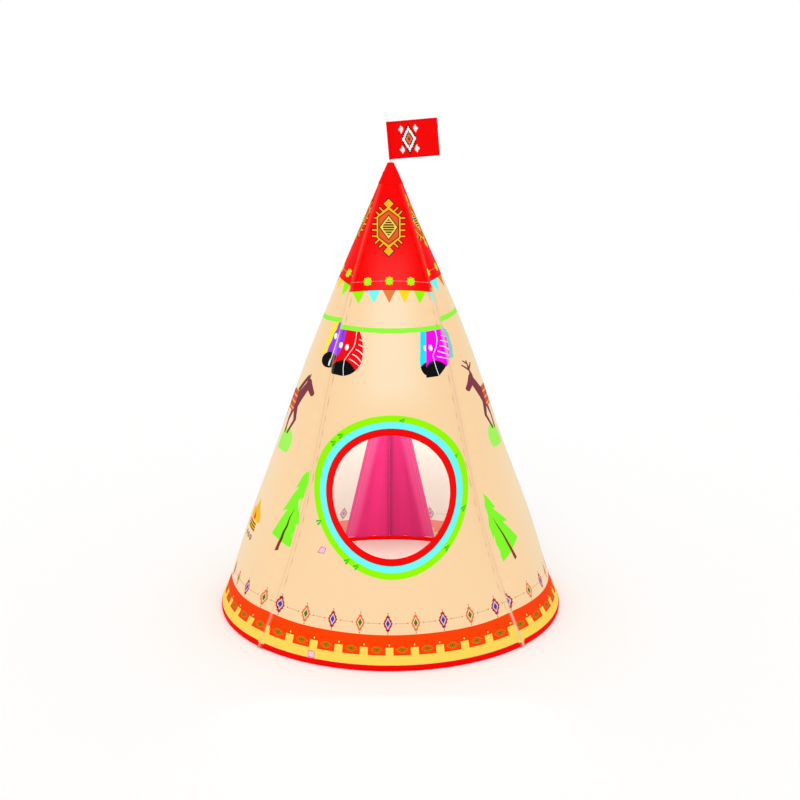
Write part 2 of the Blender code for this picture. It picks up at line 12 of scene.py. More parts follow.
import bpy
import numpy as np
from mathutils import Matrix, Vector
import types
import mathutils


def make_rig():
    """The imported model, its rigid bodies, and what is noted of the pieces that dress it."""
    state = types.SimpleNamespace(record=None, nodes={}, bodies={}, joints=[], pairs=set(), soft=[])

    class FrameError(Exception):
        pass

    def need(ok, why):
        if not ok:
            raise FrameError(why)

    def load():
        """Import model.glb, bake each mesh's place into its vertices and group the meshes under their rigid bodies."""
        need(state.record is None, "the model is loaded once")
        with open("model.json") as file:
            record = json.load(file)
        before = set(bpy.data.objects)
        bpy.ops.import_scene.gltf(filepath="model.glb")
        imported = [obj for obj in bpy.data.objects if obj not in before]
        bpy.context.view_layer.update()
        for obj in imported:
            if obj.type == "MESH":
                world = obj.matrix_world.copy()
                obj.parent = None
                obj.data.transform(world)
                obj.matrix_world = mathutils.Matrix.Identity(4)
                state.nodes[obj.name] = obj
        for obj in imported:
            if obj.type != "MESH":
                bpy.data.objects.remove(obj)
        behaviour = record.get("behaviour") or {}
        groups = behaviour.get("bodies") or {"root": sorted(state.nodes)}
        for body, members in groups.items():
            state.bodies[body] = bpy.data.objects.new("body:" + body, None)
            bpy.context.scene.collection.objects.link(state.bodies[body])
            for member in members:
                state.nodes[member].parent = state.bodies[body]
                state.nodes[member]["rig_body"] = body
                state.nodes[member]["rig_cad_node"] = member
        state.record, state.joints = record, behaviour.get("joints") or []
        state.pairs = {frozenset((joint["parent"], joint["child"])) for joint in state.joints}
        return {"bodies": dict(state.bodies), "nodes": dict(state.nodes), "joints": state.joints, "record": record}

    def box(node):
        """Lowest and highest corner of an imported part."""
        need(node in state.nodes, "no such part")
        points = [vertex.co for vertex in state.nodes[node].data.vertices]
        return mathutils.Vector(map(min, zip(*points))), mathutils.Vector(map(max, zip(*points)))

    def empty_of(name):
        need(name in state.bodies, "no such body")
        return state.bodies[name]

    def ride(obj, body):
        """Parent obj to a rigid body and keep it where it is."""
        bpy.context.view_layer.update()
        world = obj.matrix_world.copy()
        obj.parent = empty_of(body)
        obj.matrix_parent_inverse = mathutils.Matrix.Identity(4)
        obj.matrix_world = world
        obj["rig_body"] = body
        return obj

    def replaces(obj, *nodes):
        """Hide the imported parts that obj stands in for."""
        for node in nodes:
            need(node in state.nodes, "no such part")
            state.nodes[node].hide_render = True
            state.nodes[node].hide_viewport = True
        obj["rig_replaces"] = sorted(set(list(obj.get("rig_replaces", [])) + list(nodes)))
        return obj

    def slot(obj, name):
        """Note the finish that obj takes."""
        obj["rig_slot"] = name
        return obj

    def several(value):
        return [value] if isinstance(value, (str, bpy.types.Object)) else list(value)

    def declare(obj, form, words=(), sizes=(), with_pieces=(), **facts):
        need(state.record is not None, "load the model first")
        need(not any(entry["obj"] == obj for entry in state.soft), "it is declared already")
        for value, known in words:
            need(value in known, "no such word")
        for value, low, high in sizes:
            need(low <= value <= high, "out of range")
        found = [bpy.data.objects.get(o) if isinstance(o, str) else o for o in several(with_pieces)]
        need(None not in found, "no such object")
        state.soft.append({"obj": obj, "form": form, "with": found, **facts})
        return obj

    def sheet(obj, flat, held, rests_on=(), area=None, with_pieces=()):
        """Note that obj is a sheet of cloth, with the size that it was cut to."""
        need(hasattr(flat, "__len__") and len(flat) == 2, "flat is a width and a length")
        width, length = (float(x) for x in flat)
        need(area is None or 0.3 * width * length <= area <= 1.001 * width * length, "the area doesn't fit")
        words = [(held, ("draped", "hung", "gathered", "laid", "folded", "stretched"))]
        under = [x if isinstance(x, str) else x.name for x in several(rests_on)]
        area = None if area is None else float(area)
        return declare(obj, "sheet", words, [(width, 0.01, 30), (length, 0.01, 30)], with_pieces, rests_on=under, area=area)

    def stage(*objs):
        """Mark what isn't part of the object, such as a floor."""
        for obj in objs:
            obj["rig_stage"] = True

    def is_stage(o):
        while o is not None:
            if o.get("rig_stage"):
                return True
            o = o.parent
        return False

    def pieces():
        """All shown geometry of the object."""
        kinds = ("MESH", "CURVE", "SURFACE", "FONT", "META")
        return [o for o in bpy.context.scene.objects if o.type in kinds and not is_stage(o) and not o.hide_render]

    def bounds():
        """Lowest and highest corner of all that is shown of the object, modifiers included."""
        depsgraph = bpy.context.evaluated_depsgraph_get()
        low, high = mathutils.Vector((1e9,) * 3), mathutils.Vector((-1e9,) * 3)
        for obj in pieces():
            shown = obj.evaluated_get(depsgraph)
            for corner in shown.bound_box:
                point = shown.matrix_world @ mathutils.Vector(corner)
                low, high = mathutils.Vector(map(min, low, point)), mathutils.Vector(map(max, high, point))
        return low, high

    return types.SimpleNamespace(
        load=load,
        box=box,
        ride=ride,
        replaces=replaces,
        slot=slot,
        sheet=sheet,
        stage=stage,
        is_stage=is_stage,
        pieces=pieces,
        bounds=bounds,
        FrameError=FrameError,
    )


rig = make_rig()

bl_info = {
    "name": "Kids Teepee",
    "version": (1, 0, 0),
    "blender": (4, 5, 0),
    "location": "View3D > Sidebar > Teepee",
    "description": "Dresses the packed frame of a kids teepee in printed cloth",
    "category": "Add Mesh",
}

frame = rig.load()
cad_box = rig.bounds()
hem_low, hem_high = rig.box("hem_channel_right")
cup_low, cup_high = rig.box("tip_cup")
binding_low, binding_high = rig.box("window_binding")

corner = math.pi / 4
quarter = math.pi / 2
whole = 2 * math.pi
panel_names = ("front", "right", "rear", "left")
corner_names = ("front_right", "rear_right", "rear_left", "front_left")

# Directions of the front right corner: out from the axis, and aside along the base
corner_out = np.array([math.sin(corner), -math.cos(corner), 0.0])
corner_aside = np.array([math.cos(corner), math.sin(corner), 0.0])
upward = np.array([0.0, 0.0, 1.0])


# Kinds of setting


def length(label, note, value):
    """A setting in metres."""
    return bpy.props.FloatProperty(name=label, description=note, default=value, unit="LENGTH", precision=4)


def share(label, note, value):
    """A setting that is a part of a whole."""
    return bpy.props.FloatProperty(name=label, description=note, default=value, subtype="FACTOR")


def turn(label, note, degrees):
    """An angle, given in degrees."""
    value = math.radians(degrees)
    return bpy.props.FloatProperty(name=label, description=note, default=value, unit="ROTATION")


def count(label, note, value):
    """A whole number, at least 1."""
    return bpy.props.IntProperty(name=label, description=note, default=value, min=1)


def linear(level):
    """A display level from 0 to 255 as the linear level that shaders use."""
    level /= 255
    return level / 12.92 if level <= 0.04045 else ((level + 0.055) / 1.055) ** 2.4


def ink(label, note, *levels):
    """A colour, given in display levels from 0 to 255."""
    value = tuple(linear(level) for level in levels)
    return bpy.props.FloatVectorProperty(name=label, description=note, default=value, subtype="COLOR",
                                         size=len(levels), min=0.0, max=1.0)


class TeepeeCover(bpy.types.PropertyGroup):
    """Shape of the cover, its poles and its hem."""
    base_diameter: length("Base diameter", "Across the hem", 2 * hem_high.x)
    cone_height: length("Cone height", "Floor to the cloth tip", cup_high.z)
    tip_diameter: length("Tip diameter", "Across the cloth at the tip", 0.024)
    draw_in: length("Draw in", "How far the poles bow in halfway up", 0.0065)
    sway: length("Sway", "How far the poles bow in low down and out high up", 0.0211)
    ripple: length("Ripple", "Third bow of the poles", 0.0024)
    fullness_shares: bpy.props.FloatVectorProperty(
        name="Fullness", description="How round a panel is from the floor to the tip, 0 flat and 1 round",
        default=(1.0, 1.38, 1.28, 0.95, 0.5), size=5)
    cloth: length("Cloth", "Thickness of the printed cloth", 0.0012)
    hem_width: length("Hem width", "Across the hem's channel", 0.0096)
    hem_height: length("Hem height", "Height of the hem's channel", hem_high.z)
    gap: length("Gap", "Clearance between pieces that touch", 0.0003)
    cup_thickness: length("Cup thickness", "Cloth of the cup at the tip", 0.0012)
    cup_rounding: length("Cup rounding", "Radius of the cup's top edge", 0.0020)
    cup_top: length("Cup top", "Radius of the cup at its top edge", 0.0094)
    cup_stand: length("Cup stand", "How far the cup's lower edge stands off the panels", 0.0020)
    socket_radius: length("Socket radius", "Outside of a pole's socket in the hub", 0.0053)
    socket_drop: length("Socket drop", "Tip to the top of the sockets", 0.0250)
    hem_flare: length("Hem flare", "How far the foot of the cloth leans out onto the hem", 0.0040)
    flare_height: length("Flare height", "Height of that lean", 0.0600)
    sleeve_radius: length("Sleeve radius", "Outside of the cloth sleeve round a pole", 0.0066)
    tape_flange: length("Tape flange", "How far the seam tape lies on each panel", 0.0050)
    tape_cloth: length("Tape cloth", "Thickness of the seam tape", 0.0008)
    foot_radius: length("Foot radius", "Radius of a foot's ball", 0.0090)
    pucker: length("Pucker", "Depth of the small folds along the seams", 0.0009)
    billow: length("Billow", "Depth of the slow folds over a panel", 0.0016)


class TeepeeWindow(bpy.types.PropertyGroup):
    """The oval window and its bound edge."""
    width: length("Width", "Across the opening", 0.3140)
    height: length("Height", "Height of the opening", 0.3040)
    centre_height: length("Centre height", "Floor to the middle", (binding_low.z + binding_high.z) / 2)
    binding: length("Binding", "Width of the red bound edge", 0.0165)
    tape: length("Tape cloth", "Thickness of the tape round both openings", 0.0006)


class TeepeeDoor(bpy.types.PropertyGroup):
    """The doorway, its curtains, ties and toggles."""
    width: length("Width", "Across the doorway at the floor", 0.2900)
    height: length("Height", "Floor to the doorway's point", 0.6800)
    binding: length("Binding", "Width of the bound edge", 0.0080)
    binding_thickness: length("Binding thickness", "Thickness of the bound edge", 0.0026)
    lap: length("Curtain lap", "How far a curtain passes its sewn edge", 0.0040)
    floor_gap: length("Floor gap", "Curtain to sill", -0.0005)
    part: length("Part", "Space between the two curtains", 0.0001)
    draw: length("Draw", "How far a free edge is drawn in to close the part", 0.00013)
    curtain: length("Curtain cloth", "Thickness of a curtain", 0.0009)
    pleat_depth: length("Pleat depth", "Depth of the folds", 0.0026)
    pleats: count("Pleats", "Folds in each curtain", 4)
    top_share: share("Top share", "Curtain height as a share of the doorway's", 0.93)
    tie_height: length("Tie height", "Floor to the top of a tie", 0.4000)
    tie_length: length("Tie length", "Length of a hanging tie", 0.1100)
    tie_width: length("Tie width", "Width of a tie", 0.0120)
    tie_setback: length("Tie setback", "Tie to the bound edge", 0.0180)
    tie_cloth: length("Tie cloth", "Thickness of a tie", 0.0010)
    toggle_length: length("Toggle length", "Length of a toggle", 0.0320)
    toggle_diameter: length("Toggle diameter", "Thickness of a toggle", 0.0080)


class TeepeeFlag(bpy.types.PropertyGroup):
    """The flag and its staff."""
    staff_diameter: length("Staff diameter", "Thickness of the staff", 0.0050)
    staff_seat: length("Staff seat", "How deep the staff stands in the hub", 0.0280)
    staff_reach: length("Staff reach", "Staff above the tip", 0.1120)
    staff_tilt: turn("Staff tilt", "Lean of the staff to the left", 5)
    fly: length("Fly", "Length of the flag", 0.1400)
    hoist: length("Hoist", "Height of the flag", 0.1010)
    lift: length("Lift", "Flag above the tip", 0.0080)
    cloth: length("Cloth", "Thickness of the flag", 0.0008)
    ripple: length("Ripple", "Depth of the flag's wave", 0.0035)
    swing: turn("Swing", "How far the fly is turned from square", -8)


class TeepeePrint(bpy.types.PropertyGroup):
    """Heights and pitches of the printed bands."""
    cap_height: length("Cap height", "Floor to the edge of the red cap", 0.9441)
    line_rise: length("Line rise", "Cap edge to the thin line above it", 0.0222)
    flag_pitch: length("Bunting pitch", "From one small flag to the next", 0.0415)
    flower_pitch: length("Flower pitch", "From one flower to the next", 0.0583)
    flag_width: length("Bunting width", "Width of a small flag", 0.0360)
    flag_drop: length("Bunting drop", "Height of a small flag", 0.0340)
    medallion_height: length("Medallion height", "Floor to the medallion's middle", 1.1045)
    medallion_half_width: length("Medallion half width", "Middle to the tips of the teeth", 0.0470)
    medallion_half_height: length("Medallion half height", "Middle to the upper point", 0.0741)
    band_height: length("Band height", "Floor to the green band's lower edge", 0.8337)
    band_width: length("Band width", "Width of the green band", 0.0124)
    feather_length: length("Feather length", "Length of a feather", 0.1180)
    ring_width: length("Ring width", "Width of each ring round the window", 0.0177)
    diamond_height: length("Diamond height", "Floor to the row of diamonds", 0.1150)
    diamond_pitch: length("Diamond pitch", "From one diamond to the next", 0.0724)
    diamond_half_width: length("Diamond half width", "Middle to side", 0.0125)
    diamond_half_height: length("Diamond half height", "Middle to point", 0.0234)
    border_top: length("Border top", "Floor to the top of the border", 0.0872)
    border_foot: length("Border foot", "Floor to the foot of its dark part", 0.0392)
    merlon_top: length("Merlon top", "Floor to the top of a merlon", 0.0572)
    merlon_pitch: length("Merlon pitch", "From one merlon to the next", 0.0668)
    merlon_width: length("Merlon width", "Width of a merlon", 0.0212)
    animal_side: length("Animal side", "Panel's middle to the animal", 0.0520)
    animal_foot: length("Animal foot", "Floor to the animal's hooves", 0.5320)
    animal_height: length("Animal height", "Hooves to ears", 0.1750)
    fire_side: length("Fire side", "Panel's middle to the camp fire", 0.0940)
    fire_foot: length("Fire foot", "Floor to the camp fire", 0.2150)
    fire_height: length("Fire height", "Height of the camp fire", 0.1250)


class TeepeeColours(bpy.types.PropertyGroup):
    """Inks, cloths and fittings."""
    cream: ink("Cream", "Ground of the cloth", 254, 217, 169)
    # pale: a painted highlight, the ground paler towards a panel's middle; also a random mottle on the floor cloth
    pale: ink("Pale cream", "Ground at the middle of a panel", 254, 229, 192)
    reverse: ink("Reverse", "The cloth's unprinted side", 254, 251, 248)
    # seam: painted highlight and shade over the pole's ridge on the seam tape
    seam: ink("Seam", "Tape over a pole", 240, 200, 168)
    # tan: print lines, and the painted shade along the seam tape's groove
    tan: ink("Tan", "Fine lines and grooves", 214, 168, 120)
    patch: ink("Patch", "Small square patches", 254, 194, 236)
    teal: ink("Teal", "Feathers", 130, 214, 204)
    red: ink("Red", "Cap, binding and hem", 252, 4, 4)
    # red_pale: a painted highlight, paler red low on the cap towards a panel's middle
    red_pale: ink("Pale red", "Cap at the middle of a panel", 252, 44, 44)
    rose: ink("Rose", "Fine line on the cap", 255, 120, 110)
    lime: ink("Lime", "Bunting and ring", 152, 252, 0)
    green: ink("Green", "Band above the feathers", 150, 252, 62)
    grass: ink("Grass", "Tufts on the ring", 30, 214, 0)
    sky: ink("Sky", "Bunting and ring", 116, 252, 252)
    orange: ink("Orange", "Bunting", 236, 130, 66)
    yellow: ink("Yellow", "Bunting", 253, 221, 32)
    gold: ink("Gold", "Medallion", 253, 182, 44)
    rust: ink("Rust", "Inside the medallion", 240, 92, 38)
    maroon: ink("Maroon", "Fine outlines", 92, 22, 12)
    umber: ink("Umber", "Dark stripes", 92, 60, 22)
    flame: ink("Flame", "Border", 254, 66, 2)
    corn: ink("Corn", "Border", 253, 218, 90)
    olive: ink("Olive", "Eyes of the border", 204, 128, 12)
    berry: ink("Berry", "Diamonds", 168, 22, 52)
    blush: ink("Blush", "Diamonds", 253, 205, 208)
    blue: ink("Blue", "Diamonds", 56, 66, 178)
    coral: ink("Coral", "Diamonds", 238, 118, 70)
    peach: ink("Peach", "Diamonds", 253, 217, 168)
    moss: ink("Moss", "Diamonds", 78, 122, 18)
    violet: ink("Violet", "Feathers", 160, 62, 236)
    lemon: ink("Lemon", "Feathers", 252, 240, 52)
    crimson: ink("Crimson", "Feathers", 244, 10, 16)
    magenta: ink("Magenta", "Feathers", 250, 8, 244)
    cyan: ink("Cyan", "Feathers", 26, 232, 250)
    black: ink("Black", "Feather tips", 12, 12, 14)
    white: ink("White", "Quills and spots", 250, 248, 246)
    pine: ink("Pine", "Trees", 132, 252, 44)
    bark: ink("Bark", "Trunks", 132, 66, 38)
    bay: ink("Bay", "Pony", 132, 60, 72)
    blanket: ink("Blanket", "Pony's blanket", 222, 82, 74)
    meadow: ink("Meadow", "Mound", 166, 252, 96)
    amber: ink("Amber", "Flames of the fire", 252, 192, 42)
    pink: ink("Pink", "Curtains", 254, 60, 146)
    # pink_light: the door binding's pink, and a painted highlight near a curtain's sewn edge
    pink_light: ink("Light pink", "Curtain bindings", 254, 100, 170)
    thread: ink("Thread", "Stitches on the cloth", 236, 206, 166)
    plastic: ink("Plastic", "Feet, hub and staff", 240, 236, 230)
    fibreglass: ink("Fibreglass", "Poles and hoop", 226, 224, 216)
    steel: ink("Steel", "Ferrules", 190, 190, 194)
    wood: ink("Wood", "Toggles", 188, 142, 92)
    wood_dark: ink("Dark wood", "Grain of the toggles", 140, 92, 52)


class TeepeeStage(bpy.types.PropertyGroup):
    """Camera and lamps."""
    camera_side: length("Camera side", "Camera to the right of the axis", -0.0231)
    camera_back: length("Camera back", "Camera in front of the axis", 3.2927)
    camera_height: length("Camera height", "Floor to the camera", 1.3755)
    camera_yaw: turn("Camera yaw", "Turn of the camera to the left", -0.871)
    camera_pitch: turn("Camera pitch", "How far the camera looks down", 13.19)
    camera_roll: turn("Camera roll", "Roll of the camera", 0.109)
    lens: bpy.props.FloatProperty(name="Lens", description="Focal length", default=52.83,
                                  subtype="DISTANCE_CAMERA")
    floor_size: length("Floor size", "Across the floor", 40.0)
    floor_drop: length("Floor drop", "Floor below the feet", 0.0004)
    ambient: share("Ambient", "Level of the light from all round", 0.93)
    key: share("Key", "Strength of the key lamp", 0.41)
    inner_power: bpy.props.FloatProperty(name="Inner power", description="Power of the lamp under the cover",
                                         default=2.0, unit="POWER")


class TeepeeSettings(bpy.types.PropertyGroup):
    """Everything about the teepee that a user would change."""
    cover: bpy.props.PointerProperty(type=TeepeeCover)
    window: bpy.props.PointerProperty(type=TeepeeWindow)
    door: bpy.props.PointerProperty(type=TeepeeDoor)
    flag: bpy.props.PointerProperty(type=TeepeeFlag)
    print: bpy.props.PointerProperty(type=TeepeePrint)
    colours: bpy.props.PointerProperty(type=TeepeeColours)
    stage: bpy.props.PointerProperty(type=TeepeeStage)


def settings():
    """The teepee's settings in this scene."""
    return bpy.context.scene.teepee


# Arrays


def stack(*parts):
    """Rows of numbers from arrays or single numbers, which are first drawn out to one shape."""
    return np.stack(np.broadcast_arrays(*parts), axis=-1)


def around(steps):
    """Even angles round a circle."""
    return np.linspace(0, whole, steps + 1)[:-1]


# Surface of the cover


def smooth(value):
    """0 to 1 in an even S between 0 and 1."""
    value = np.clip(value, 0.0, 1.0)
    return value * value * (3 - 2 * value)


def pole_seam(height):
    """Distance of a corner seam from the axis: a straight lean less three sine bows."""
    cover = settings().cover
    part = height / cover.cone_height
    straight = (cover.base_diameter + (cover.tip_diameter - cover.base_diameter) * part) / 2
    bows = (cover.draw_in, cover.sway, cover.ripple)
    return straight - sum(bow * np.sin((k + 1) * np.pi * part) for k, bow in enumerate(bows))


def fullness(height):
    """How round a panel is: a cubic through even shares, with each slope from its neighbours."""
    shares = np.array(settings().cover.fullness_shares)
    last = len(shares) - 1
    place = np.clip(height / settings().cover.cone_height, 0.0, 1.0) * last
    first = np.minimum(place.astype(int), last - 1)
    part = place - first
    before, low = shares[np.maximum(first - 1, 0)], shares[first]
    high, after = shares[first + 1], shares[np.minimum(first + 2, last)]
    slope_low, slope_high = (high - before) / 2, (after - low) / 2
    rest = 1 - part
    return (low * (1 + 2 * part) * rest ** 2 + slope_low * part * rest ** 2
            + high * part ** 2 * (3 - 2 * part) - slope_high * part ** 2 * rest)


def panel_reach(height, angle):
    """Distance of the cloth from the axis, between a flat panel and a round one."""
    height = np.asarray(height, float)
    full = fullness(height)
    return pole_seam(height) * ((1 - full) * np.cos(corner) / np.cos(angle) + full)


def wall_bottom():
    """Height of the panels' lower edge, just above the hem."""
    cover = settings().cover
    return cover.hem_height + cover.gap + cover.cloth / 2


def wall_top():
    """Height of the panels' upper edge, just under the cup."""
    cover = settings().cover
    return cup_low.z - cover.gap - (cover.cloth + cover.cup_thickness) / 2


def flare(height):
    """How far the foot of the cloth leans out: an even S from the hem upwards."""
    cover = settings().cover
    return cover.hem_flare * (1 - smooth((height - wall_bottom()) / cover.flare_height))


def leg_reach(height):
    """Distance of a pole's centre line from the axis: half a hem inside the seam, eased out to
    the middle of the hem over the lowest stretch."""
    cover = settings().cover
    kick = cover.base_diameter / 2 - pole_seam(cover.hem_height / 2)
    ease = 1 - (height - cover.hem_height / 2) / (wall_top() / 16)
    return pole_seam(height) - cover.hem_width / 2 + kick * np.clip(ease, 0.0, 1.0)


def hoop_reach():
    """Distance of the hoop's middle line from the axis."""
    cover = settings().cover
    return (cover.base_diameter - cover.hem_width) / 2


def leg_slope(height):
    step = settings().cover.hem_height
    return (leg_reach(height + step) - leg_reach(height)) / step


def edge_angle(height):
    """Where a panel's edge meets its sleeve: the crossing of the panel with a circle about the
    pole, found by repeated steps."""
    cover = settings().cover
    reach = leg_reach(height)
    clear = (cover.sleeve_radius + cover.gap) * np.hypot(1, leg_slope(height))
    angle = np.full_like(reach, corner)
    for _ in range(12):
        inner = panel_reach(height, angle) - cover.cloth
        cosine = (inner ** 2 + reach ** 2 - clear ** 2) / (2 * inner * reach)
        angle = corner - np.arccos(np.minimum(cosine, 1.0))
    return angle


def edge_side(height):
    """Side distance of a panel's edge."""
    angle = edge_angle(height)
    return panel_reach(height, angle) * np.sin(angle)


def cloth_depth(side, height):
    """Depth of the cloth in front of the axis: the angle whose reach meets the side distance."""
    angle = np.zeros_like(side)
    for _ in range(14):
        angle = np.arcsin(np.minimum(side / panel_reach(height, angle), 1.0))
    return panel_reach(height, angle) * np.cos(angle)


def door_spread():
    """Angle of each of the doorway's edges from the upright."""
    door = settings().door
    return math.atan2(door.width / 2, door.height - wall_bottom())


def door_half_width(height, grow=0.0):
    """Half the doorway's width at a height, with its sloping edges moved out by grow."""
    tip = settings().door.height + grow / math.sin(door_spread())
    return np.maximum((tip - height) * math.tan(door_spread()), 0.0)


def depth_at(side, height):
    """Depth of the cloth at one place."""
    return float(cloth_depth(np.array([side]), np.array([height]))[0])


def door_line(low_depth, height):
    """Depth of a straight line from the doorway's foot to its point."""
    door = settings().door
    part = (height - wall_bottom()) / (door.height - wall_bottom())
    return low_depth + (depth_at(0.0, door.height) - low_depth) * part


def rear_depth(side, height):
    """Depth of the rear cloth, which its tension pulls straight along the doorway's edges."""
    door = settings().door
    depth = cloth_depth(side, height)
    low = np.minimum(height, door.height)
    edge = door_half_width(low)
    pull = cloth_depth(edge, low) - door_line(depth_at(door.width / 2, wall_bottom()), low)
    far = edge_side(height)
    return depth - np.where(height < door.height, pull * smooth((far - side) / (far - edge)), 0.0)


def panel_points(side, height, rear=False):
    """Points of the front panel, or of the rear panel turned to the front."""
    find = rear_depth if rear else cloth_depth
    depth = find(np.abs(side), height)
    return stack(side, -depth, height)


def panel_normals(side, height, rear=False):
    """Unit vectors out of the cloth: the cross product of two short steps over it."""
    step = settings().cover.cloth
    across = panel_points(side + step, height, rear) - panel_points(side - step, height, rear)
    along = panel_points(side, height + step, rear) - panel_points(side, height - step, rear)
    normal = np.cross(across, along)
    return normal / np.linalg.norm(normal, axis=-1, keepdims=True)


def turned(points, quarters):
    """Points carried round the axis by quarter turns."""
    angle = quarters * quarter
    cosine, sine = math.cos(angle), math.sin(angle)
    x, y, z = np.moveaxis(points, -1, 0)
    return stack(x * cosine - y * sine, x * sine + y * cosine, z)


def round_axis(reach, angle, height):
    """Points at a distance from the axis, at an angle from the front, and at a height."""
    return stack(reach * np.sin(angle), -reach * np.cos(angle), height)


def blended(soft, *surfaces):
    """The highest of some surfaces, rounded where they cross: the logarithm of the sum of their
    exponentials."""
    total = surfaces[0] / soft
    for surface in surfaces[1:]:
        total = np.logaddexp(total, surface / soft)
    return soft * total


# Meshes from arrays


def grid_faces(rows, columns, wrap=False):
    """Four-cornered faces of a grid of points, closed across its columns if it wraps."""
    low = np.arange(rows - 1)[:, None] * columns
    here = np.arange(columns if wrap else columns - 1)
    there = (here + 1) % columns
    return stack(low + here, low + there, low + columns + there, low + columns + here).reshape(-1, 4)


def merged(points, faces):
    """One vertex for points that lie in the same place."""
    points = points.reshape(-1, points.shape[-1])
    fine = np.round(points / 1e-6).astype(np.int64)
    _, first, where = np.unique(fine, axis=0, return_index=True, return_inverse=True)
    return points[first], where.reshape(-1)[faces]


def face_crosses(points, faces):
    """The cross product of each face's diagonals, which is its normal at twice its area."""
    a, b, c, d = (points[faces[:, k]] for k in range(4))
    return np.cross(c - a, d - b)


def point_normals(points, faces):
    """Unit normals at the points: the sum of the normals of the faces round each."""
    crosses = face_crosses(points, faces)
    total = np.zeros_like(points)
    for k in range(4):
        np.add.at(total, faces[:, k], crosses)
    return total / np.maximum(np.linalg.norm(total, axis=1, keepdims=True), 1e-12)


def face_area(points, faces):
    """Area of all the faces together."""
    return float(np.linalg.norm(face_crosses(points.reshape(-1, 3), faces), axis=1).sum() / 2)


def closed_sheet(points, faces, thickness):
    """Cloth with two sides: the points half a thickness out and in, and a rim along open edges."""
    total = len(points)
    normal = point_normals(points, faces) * thickness / 2
    edges = faces[:, [0, 1, 1, 2, 2, 3, 3, 0]].reshape(-1, 2)
    here, there = edges @ (total, 1), edges @ (1, total)
    start, end = edges[~np.isin(here, there) & (edges[:, 0] != edges[:, 1])].T
    rim = stack(end, start, start + total, end + total)
    return (np.concatenate([points + normal, points - normal]),
            np.concatenate([faces, faces[:, ::-1] + total, rim]))


def piece_from(name, points, faces, body="tent", sharp=50, **marks):
    """A shown piece with smooth faces; marks are values at its points that materials read."""
    mesh = bpy.data.meshes.new(name)
    mesh.from_pydata(points.tolist(), [], [tidy(face) for face in faces.tolist()])
    for mark, values in marks.items():
        kind, field = ("FLOAT", "value") if values.ndim == 1 else ("FLOAT_VECTOR", "vector")
        store = mesh.attributes.new(mark, kind, "POINT")
        store.data.foreach_set(field, values.astype(np.float32).ravel())
    mesh.shade_smooth()
    mesh.set_sharp_from_angle(angle=math.radians(sharp))
    made = bpy.data.objects.new(name, mesh)
    bpy.context.scene.collection.objects.link(made)
    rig.ride(made, body)
    return made


def tidy(face):
    """A face without a corner that it names twice."""
    return list(dict.fromkeys(face))


def cloth_piece(name, points, faces, thickness, body="tent", marks=None):
    """A closed piece of cloth that knows its reverse side, and its own places if marks give them."""
    points = points.reshape(-1, 3)
    both, skin = closed_sheet(points, faces, thickness)
    values = {"reverse": np.repeat([0.0, 1.0], len(points))}
    if marks is not None:
        values["cloth"] = np.tile(marks.reshape(-1, 3), (2, 1))
    return piece_from(name, both, skin, body, **values)


def dress(made, material, slot, *nodes):
    """Gives a piece its material and its slot, and says which packed nodes it stands for."""
    made.data.materials.append(material)
    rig.slot(made, slot)
    if nodes:
        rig.replaces(made, *nodes)
    return made


# Shader expressions


def operator(operation, swapped=False):
    """A method that adds one Math node; a swapped one is for a plain number on the left."""
    def method(self, other):
        return self.graph.math(operation, *((other, self) if swapped else (self, other)))

    return method


class Signal:
    """A shader value that is used in sums; each operator adds the Math node that it needs."""

    def __init__(self, graph, socket):
        self.graph = graph
        self.socket = socket

    __add__ = __radd__ = operator("ADD")
    __sub__ = operator("SUBTRACT")
    __rsub__ = operator("SUBTRACT", True)
    __mul__ = __rmul__ = __and__ = operator("MULTIPLY")
    __truediv__ = operator("DIVIDE")
    __rtruediv__ = operator("DIVIDE", True)
    __pow__ = operator("POWER")
    __mod__ = operator("FLOORED_MODULO")
    __or__ = operator("MAXIMUM")
    __gt__ = operator("GREATER_THAN")
    __lt__ = operator("LESS_THAN")

    def __neg__(self):
        return self * -1.0

    def __abs__(self):
        return self.graph.math("ABSOLUTE", self)

    def __invert__(self):
        return 1.0 - self


